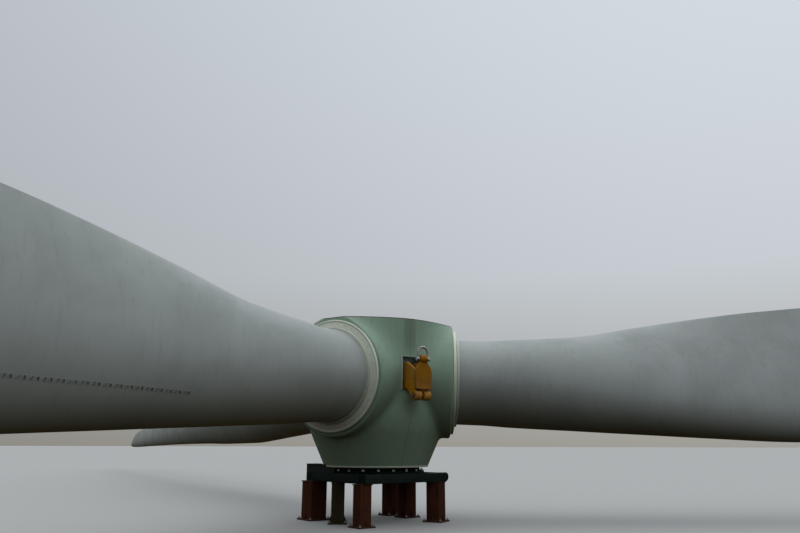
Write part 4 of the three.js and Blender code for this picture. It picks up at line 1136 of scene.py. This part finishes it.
def bracket():
    plate_end = PAD_FACE + TOUCH + FOOT_PLATE_THICK
    boss = arc(PIVOT_X, PIVOT_Z, PIVOT_BOSS_RADIUS - 0.012, 215, 360, 8)
    outline = [
        (PAD_FACE + 0.02, CHEEK_BOTTOM_Z), (CHEEK_HEEL_X, CHEEK_BOTTOM_Z), (EAR_BACK_X, EAR_BOTTOM_Z),
        *[(min(x, CHEEK_FRONT_X), z) for x, z in boss],
        (CHEEK_FRONT_X, EAR_FRONT_Z), (CHEEK_FRONT_X, CHEEK_FRONT_TOP_Z),
        (CHEEK_SHOULDER_X, CHEEK_TOP_Z), (PAD_FACE + 0.02, CHEEK_TOP_Z),
    ]
    web_side = CHEEK_OUTSIDE - 0.01
    add_lifting("bracket_plates", [
        box_part(PAD_FACE + TOUCH, plate_end, -FOOT_PLATE_HALF_WIDTH, FOOT_PLATE_HALF_WIDTH,
                 FOOT_PLATE_BOTTOM_Z, FOOT_PLATE_TOP_Z),
        side_plate(outline, -CHEEK_OUTSIDE, -CHEEK_INSIDE),
        side_plate(outline, CHEEK_INSIDE, CHEEK_OUTSIDE),
        box_part(WEB_START, WEB_END, -web_side, web_side, CHEEK_BOTTOM_Z, 0),
    ], lifting_paint, "lifting_bracket", bevel=0.006)
    ear = across_pivot(PIVOT_BOSS_RADIUS, SLOT_HALF_WIDTH, CHEEK_OUTSIDE + 0.012, 48, 0.012)
    add_lifting("bracket_ears", [ear, (ear[0] * np.array([1, -1, 1]), ear[1])], lifting_paint)
    runs = [(plate_end, CHEEK_OUTSIDE, CHEEK_TOP_Z, 0.011), (WEB_START, CHEEK_INSIDE, -0.01, 0.009),
            (WEB_END, CHEEK_INSIDE, -0.01, 0.009)]
    welds = [weld_part((x, side * y, CHEEK_BOTTOM_Z), (x, side * y, z), radius)
             for x, y, z, radius in runs for side in (-1, 1)]
    add_lifting("bracket_welds", welds, lifting_paint)
    bolt = along_x(bolt_part(0.03, 0.02))
    add_lifting("bracket_bolts", [
        shifted(bolt, plate_end, y, z)
        for y in (-0.075, 0, 0.075) for z in (FOOT_PLATE_TOP_Z - 0.035, FOOT_PLATE_BOTTOM_Z + 0.02)
    ], galvanised)
    end = CHEEK_OUTSIDE + 0.03
    add_lifting("pivot_pin_shown", [
        across_pivot(PIVOT_RADIUS, -end, end),
        across_pivot(PIVOT_WASHER_RADIUS, CHEEK_OUTSIDE + 0.013, end - 0.004, 40, 0.005),
        across_pivot(PIVOT_WASHER_RADIUS, 0.004 - end, -CHEEK_OUTSIDE - 0.013, 40, 0.005),
        box_part(PIVOT_X - 0.02, PIVOT_X + 0.02, end - 0.018, end - 0.006, PIVOT_Z - 0.045, PIVOT_Z + 0.045),
    ], rusty_steel_and_shade, "pivot_pin")


def lifting_arm():
    back = CHEEK_FRONT_X + TOUCH
    front = back + ARM_THICK
    outline = ARM_OUTLINE + [(-y, z) for y, z in ARM_OUTLINE[::-1]]
    add_lifting("arm_plate", [along_x(prism_part(outline, back, front))], shaded_arm_paint, "lifting_arm", ARM_BODY,
                bevel=0.008)
    add_lifting("arm_lugs", [
        across_lug(LUG_RADIUS, -LUG_HALF_WIDTH, LUG_HALF_WIDTH, 48, 0.01),
        across_lug(LUG_RADIUS * 0.72, -LUG_HALF_WIDTH - 0.006, LUG_HALF_WIDTH + 0.006, 40, 0.004),
    ], shaded_arm_paint, body=ARM_BODY, bevel=0.003)
    half = SLOT_HALF_WIDTH - 0.006
    tongue_top = ARM_BOTTOM_Z + 0.03
    # the tongue is in dark rusty steel as painted shade, where it sits between the ears
    add_lifting("arm_tongue", [
        side_plate([(back, tongue_top), (back, PIVOT_Z - 0.03), (PIVOT_X, PIVOT_Z - 0.08),
                    (PIVOT_X - 0.05, PIVOT_Z), (PIVOT_X, PIVOT_Z + 0.08)], -half, half),
        box_part(back, back + 0.012, -half, half, PIVOT_Z - 0.03, tongue_top),
    ], rusty_steel_and_shade, body=ARM_BODY, slot="lifting_paint", bevel=0.003)
    runs = [(front - 0.004, LUG_HALF_WIDTH, LUG_Z - 0.06), (front - 0.01, half + 0.004, ARM_BOTTOM_Z)]
    welds = [weld_part((x, -y, z), (x, y, z), 0.008) for x, y, z in runs]
    add_lifting("arm_welds", welds, shaded_arm_paint, body=ARM_BODY)


def shackle():
    half = SHACKLE_HALF_WIDTH
    path = [(-half, LUG_Z), (-half, LUG_Z + 0.07), *arc(0, LUG_Z + SHACKLE_STRAIGHT, half, 180, 0, 28),
            (half, LUG_Z + 0.07), (half, LUG_Z)]
    start, end = half - SHACKLE_ROD_RADIUS, half + SHACKLE_ROD_RADIUS
    add_lifting("shackle_bow_shown", [
        tube_part([(LUG_X, y, z) for y, z in path], SHACKLE_ROD_RADIUS, 24),
        across_lug(SHACKLE_EYE_RADIUS, start, end, 40, 0.008),
        across_lug(SHACKLE_EYE_RADIUS, -end, -start, 40, 0.008),
    ], galvanised, "shackle_bow", SHACKLE_BODY)
    nut = lathe_part([(0, TOUCH), (0.042, TOUCH), (0.042, 0.02), (0.036, 0.025), (0, 0.025)], 6)
    add_lifting("shackle_pin_shown", [
        across_lug(SHACKLE_PIN_RADIUS, -end - 0.02, end + 0.02, 32, 0.004),
        shifted(along_y(nut), LUG_X, end, LUG_Z),
        across_lug(0.04, -end - 0.018, -end - 0.002, 32, 0.004),
    ], bright_bolt, "shackle_pin", SHACKLE_BODY)


def hatch_surface(y, z, lift):
    """A point on the spinner's surface, in the hatch's frame, moved outwards by lift."""
    def field(x):
        # the nearer blade's own third is 60 degrees to either side of the seam
        local = math.radians(60) - np.abs(np.arctan2(y, x))
        radius = np.hypot(x, y)
        return spinner_field(radius * np.cos(local), radius * np.sin(local), np.array([z]))
    return halved(field, 1.2, 2.2, 1)[0] + lift, y, z


def hatch_frame():
    """A thin laminate frame round the hatch, on the shell's own curve."""
    outer = hatch_outline(0.028, 0.04, 6)
    inner = hatch_outline(0.001, 0.02, 6)
    rings = ((outer, -0.006), (inner, -0.006), (inner, 0.009), (outer, 0.009))
    part = skin_part([[hatch_surface(y, z, lift) for y, z in loop] for loop, lift in rings])
    add_piece("hatch_frame", part, spinner_paint, azimuth=HATCH_AZIMUTH, bevel=0.003)


def hatch_hinge():
    """The leaf and the knuckles of the hatch cover's hinge, left on the shell with the cover off."""
    middle = HATCH_LEFT_Y - 0.016
    low, high = HATCH_BOTTOM_Z + 0.01, HATCH_TOP_Z - 0.01
    knuckles = 11
    step = (high - low) / knuckles
    parts = []
    for i in range(knuckles):
        path = [hatch_surface(middle + 0.012, low + step * (i + share), 0.012) for share in (0.04, 0.5, 0.96)]
        parts.append(tube_part(path, 0.009, 12))
    corners = ((-0.014, 0.004), (0.014, 0.004), (0.014, 0.011), (-0.014, 0.011))
    leaf = [[hatch_surface(middle + y, z, lift) for y, lift in corners] for z in np.linspace(low, high, 13)]
    parts.append(skin_part(leaf, "capped"))
    add_piece("hatch_hinge", joined(parts), hinge_paint, azimuth=HATCH_AZIMUTH)


# assembly stand

def add_stand(name, part, node=None, **look):
    add_piece(name, part, stand_paint, node, azimuth=STAND_TURN, **look)


def beam_part(length, width):
    """A closed box section along X with rounded corners."""
    outline = rounded_outline(-width / 2, width / 2, BEAM_BOTTOM_Z, BEAM_TOP_Z, 0.016)
    return along_x(prism_part(outline, -length / 2, length / 2))


def stand_frame():
    half = BEAM_WIDTH / 2 + 0.004
    cap_outline = rounded_outline(-half, half, BEAM_BOTTOM_Z - 0.001, BEAM_TOP_Z + 0.003, 0.02)
    cap = along_x(prism_part(cap_outline, FRAME_OUTSIDE - 0.012, FRAME_OUTSIDE - 0.002))
    long_beam = joined([beam_part(2 * FRAME_OUTSIDE, BEAM_WIDTH), cap, turned(cap, 180)])
    short_length = 2 * FRAME_INSIDE - 0.001
    short_beam = turned(beam_part(short_length, BEAM_WIDTH), 90)
    cross_beam = beam_part(short_length, CROSS_WIDTH)
    for i, side in enumerate((1, -1), 1):
        place = side * FRAME_HALF
        add_stand(f"stand_beam_{i}_shown", shifted(long_beam, y=place), f"stand_beam_{i}", bevel=0.003)
        add_stand(f"stand_beam_{i + 2}_shown", shifted(short_beam, place), f"stand_beam_{i + 2}", bevel=0.003)
        cross = shifted(cross_beam, y=-side * CROSS_OFFSET)
        add_stand(f"cross_beam_{i}_shown", cross, f"cross_beam_{i}", bevel=0.003)


def eye_plate(outline, hole, thick):
    """A plate from z 0 up to thick, with a round hole. Its outline is taken at even angles."""
    polar = sorted((math.atan2(y, x) % (2 * math.pi), math.hypot(x, y)) for x, y in outline)
    angles = turns(24)
    reach = np.interp(angles, *zip(*polar), period=2 * math.pi)
    cos, sin = np.cos(angles), np.sin(angles)
    rings = ((hole, 0), (reach, 0), (reach, thick), (hole, thick))
    return skin_part([np.stack([r * cos, r * sin, np.full(len(cos), z)], 1) for r, z in rings])


def stand_fittings():
    """Corner welds and the lifting eyes at two corners."""
    low, high = BEAM_BOTTOM_Z + 0.01, BEAM_TOP_Z - 0.01
    beads = []
    for x, radius in ((FRAME_INSIDE, 0.009), (FRAME_OUTSIDE, 0.008)):
        for side_x in (-x, x):
            for y in (-FRAME_INSIDE, FRAME_INSIDE):
                beads.append(weld_part((side_x, y, low), (side_x, y, high), radius))
    add_stand("stand_welds", joined(beads))
    plate = rounded_outline(-0.085, 0.085, -0.085, 0.085, 0.04, 5)
    eye = turned(eye_plate(plate, 0.035, 0.03), 90, "X")
    middle_z = (BEAM_TOP_Z + BEAM_BOTTOM_Z) / 2
    places = (0.035 - FRAME_HALF, FRAME_HALF - 0.005)
    eyes = [shifted(eye, FRAME_OUTSIDE + 0.07, y, middle_z) for y in places]
    add_stand("stand_eyes", joined(eyes), bevel=0.004)


def stand_box():
    """The deep box on the left corner, and its lid."""
    reach = NOSE_RADIUS + BOX_CLEARANCE
    start = FRAME_OUTSIDE - BOX_LENGTH
    # the inner long side is cut back by the circle that keeps clear of the spinner
    outline = [(-FRAME_OUTSIDE, FRAME_OUTSIDE), (-FRAME_OUTSIDE, start)]
    for y in np.linspace(start, FRAME_OUTSIDE, 15):
        edge = min(-FRAME_INSIDE, -math.sqrt(max(reach ** 2 - y ** 2, 0)))
        outline.append((max(edge, 0.02 - FRAME_OUTSIDE), y))
    lid_z = BOX_TOP_Z - BOX_LID_THICK
    add_stand("stand_box_body", prism_part(outline, BEAM_TOP_Z + TOUCH, lid_z), "stand_box", bevel=0.004)
    lid = [(x - 0.012 if x == -FRAME_OUTSIDE else x, y) for x, y in outline]
    add_stand("stand_box_lid", prism_part(lid, lid_z, BOX_TOP_Z), bevel=0.004)


def stand_drum():
    """The drum with its flanges, gussets and bolts, and a low ring wall inside the bolt circle."""
    foot = BEAM_TOP_Z + TOUCH
    base = foot + DRUM_FLANGE_THICK
    top = NOSE_FLANGE_Z - TOUCH
    under = top - DRUM_FLANGE_THICK
    wall = lathe_part([
        (DRUM_RADIUS - DRUM_WALL, foot), (DRUM_BASE_RADIUS, foot), (DRUM_BASE_RADIUS, base),
        (DRUM_RADIUS + 0.02, base), (DRUM_RADIUS, base + 0.02), (DRUM_RADIUS, under - 0.02),
        (DRUM_RADIUS + 0.02, under), (DRUM_TOP_FLANGE_RADIUS, under), (DRUM_TOP_FLANGE_RADIUS, top),
        (DRUM_RADIUS - DRUM_WALL, top),
    ], 96)
    gusset_end = DRUM_BASE_RADIUS - 0.14
    gusset = side_plate([
        (DRUM_RADIUS - 0.004, base), (gusset_end, base), (gusset_end, base + 0.03),
        (DRUM_RADIUS + 0.05, DRUM_GUSSET_Z - 0.05), (DRUM_RADIUS - 0.004, DRUM_GUSSET_Z),
    ], -0.009, 0.009)
    add_piece("drum", joined([wall, repeated(gusset, 0, 12, 15)]), stand_paint, "stand_drum", bevel=0.003)
    base_bolts = repeated(bolt_part(0.034, 0.016), DRUM_BOLT_CIRCLE, 20, 6, base)
    add_piece("drum_base_bolts", base_bolts, bright_bolt)
    top_bolts = hung(repeated(bolt_part(0.03, 0.02), NOSE_BOLT_CIRCLE, 40), under)
    add_piece("drum_top_bolts", top_bolts, galvanised)
    ring = rounded_ring(BASE_RING_INNER, BASE_RING_OUTER, base - TOUCH - 0.002, NOSE_Z + 0.012, 0.003)
    add_piece("base_ring", ring, stand_paint)


def stand_legs():
    foot_top = FOOT_Z + FOOT_THICK
    top = BEAM_BOTTOM_Z - TOUCH
    bolt = bolt_part(0.026, 0.02)
    for number, (azimuth, distance, turn, width) in enumerate(LEGS, 1):
        half = width / 2
        foot_half = half + FOOT_MARGIN
        rib = side_plate([
            (half - 0.003, foot_top), (foot_half - 0.008, foot_top), (foot_half - 0.008, foot_top + 0.015),
            (half + 0.006, RIB_TOP_Z), (half - 0.003, RIB_TOP_Z),
        ], -0.007, 0.007)
        post = joined([
            prism_part(rounded_outline(-half, half, -half, half, 0.03, 4), foot_top, top - 0.02),
            box_part(-half - 0.01, half + 0.01, -half - 0.01, half + 0.01, top - 0.02, top),
            box_part(-foot_half, foot_half, -foot_half, foot_half, FOOT_Z, foot_top),
            repeated(rib, 0, 4),
        ])
        corner = foot_half - 0.035
        bolts = joined([shifted(bolt, x, y, foot_top) for x in (-corner, corner) for y in (-corner, corner)])
        spin = math.radians(azimuth)
        x, y = distance * math.cos(spin), distance * math.sin(spin)
        post = shifted(turned(post, turn), x, y)
        paint = olive_paint if number == OLIVE_LEG else leg_paint
        add_piece(f"leg_{number}", post, paint, f"stand_leg_{number}", bevel=0.004)
        add_piece(f"leg_bolts_{number}", shifted(turned(bolts, turn), x, y), galvanised)


# stage

def make_floor():
    mesh = bpy.data.meshes.new("floor")
    corners = ((-1, -1), (1, -1), (1, 1), (-1, 1))
    points = [(x * FLOOR_HALF, y * FLOOR_HALF, FOOT_Z * SCALE) for x, y in corners]
    mesh.from_pydata(points, [], [[0, 1, 2, 3]])
    material = Material("pale floor", None, specular=0.2)
    material.shader.inputs["Base Color"].default_value = (0.52, 0.52, 0.51, 1)
    material.shader.inputs["Roughness"].default_value = 0.9
    mesh.materials.append(material.made)
    floor = link_object("floor", mesh)
    floor.visible_diffuse = False
    floor.visible_glossy = False


def make_light():
    """An overcast dome, brightest overhead, dark below the horizon and lighter right and ahead."""
    world = bpy.data.worlds.new("overcast")
    bpy.context.scene.world = world
    world.use_nodes = True
    sky = Nodes(world.node_tree)
    direction = sky.place("Generated")
    colour = sky.add("ValToRGB", {"Fac": sky.ramp(sky.axis(direction, "Z"), -1, 1, way="LINEAR")})
    elements = colour.node.color_ramp.elements
    while len(elements) < len(SKY_STOPS):
        elements.new(0.5)
    for element, (place, light) in zip(elements, SKY_STOPS):
        element.position = place
        element.color = (*light, 1)
    side = sky.times(sky.ramp(sky.axis(direction, "X"), -1, 1, 0.78, 1.36, "LINEAR"),
                     sky.ramp(sky.axis(direction, "Y"), -1, 1, 0.74, 1.06, "LINEAR"))
    shade = sky.add("VectorMath", {0: colour, 1: side}, operation="MULTIPLY")
    background = sky.tree.nodes["Background"]
    sky.tree.links.new(shade, background.inputs["Color"])
    background.inputs["Strength"].default_value = 1.0


def make_camera():
    data = bpy.data.cameras.new("camera")
    data.lens = CAMERA_LENS
    data.sensor_width = SENSOR_WIDTH
    data.clip_end = VIEW_DISTANCE
    camera = link_object("camera", data)
    yaw = Matrix.Rotation(math.radians(CAMERA_YAW), 4, "Z")
    pitch = Matrix.Rotation(math.radians(90 + CAMERA_PITCH), 4, "X")
    roll = Matrix.Rotation(math.radians(CAMERA_ROLL), 4, "Z")
    camera.matrix_world = Matrix.Translation(yaw @ Vector(CAMERA_POINT) * SCALE) @ yaw @ pitch @ roll
    bpy.context.scene.camera = camera


make_camera()
make_light()
make_floor()
shell_segments()
rim_and_nose()
seam_strips()
port_rings()
blade_shells()
vortex_fins()
hub_casting()
hub_faces()
pitch_bearings()
rim_struts()
nose_cone()
bracket()
lifting_arm()
shackle()
hatch_frame()
hatch_hinge()
stand_frame()
stand_fittings()
stand_box()
stand_drum()
stand_legs()

bpy.context.scene.view_settings.view_transform = "Standard"
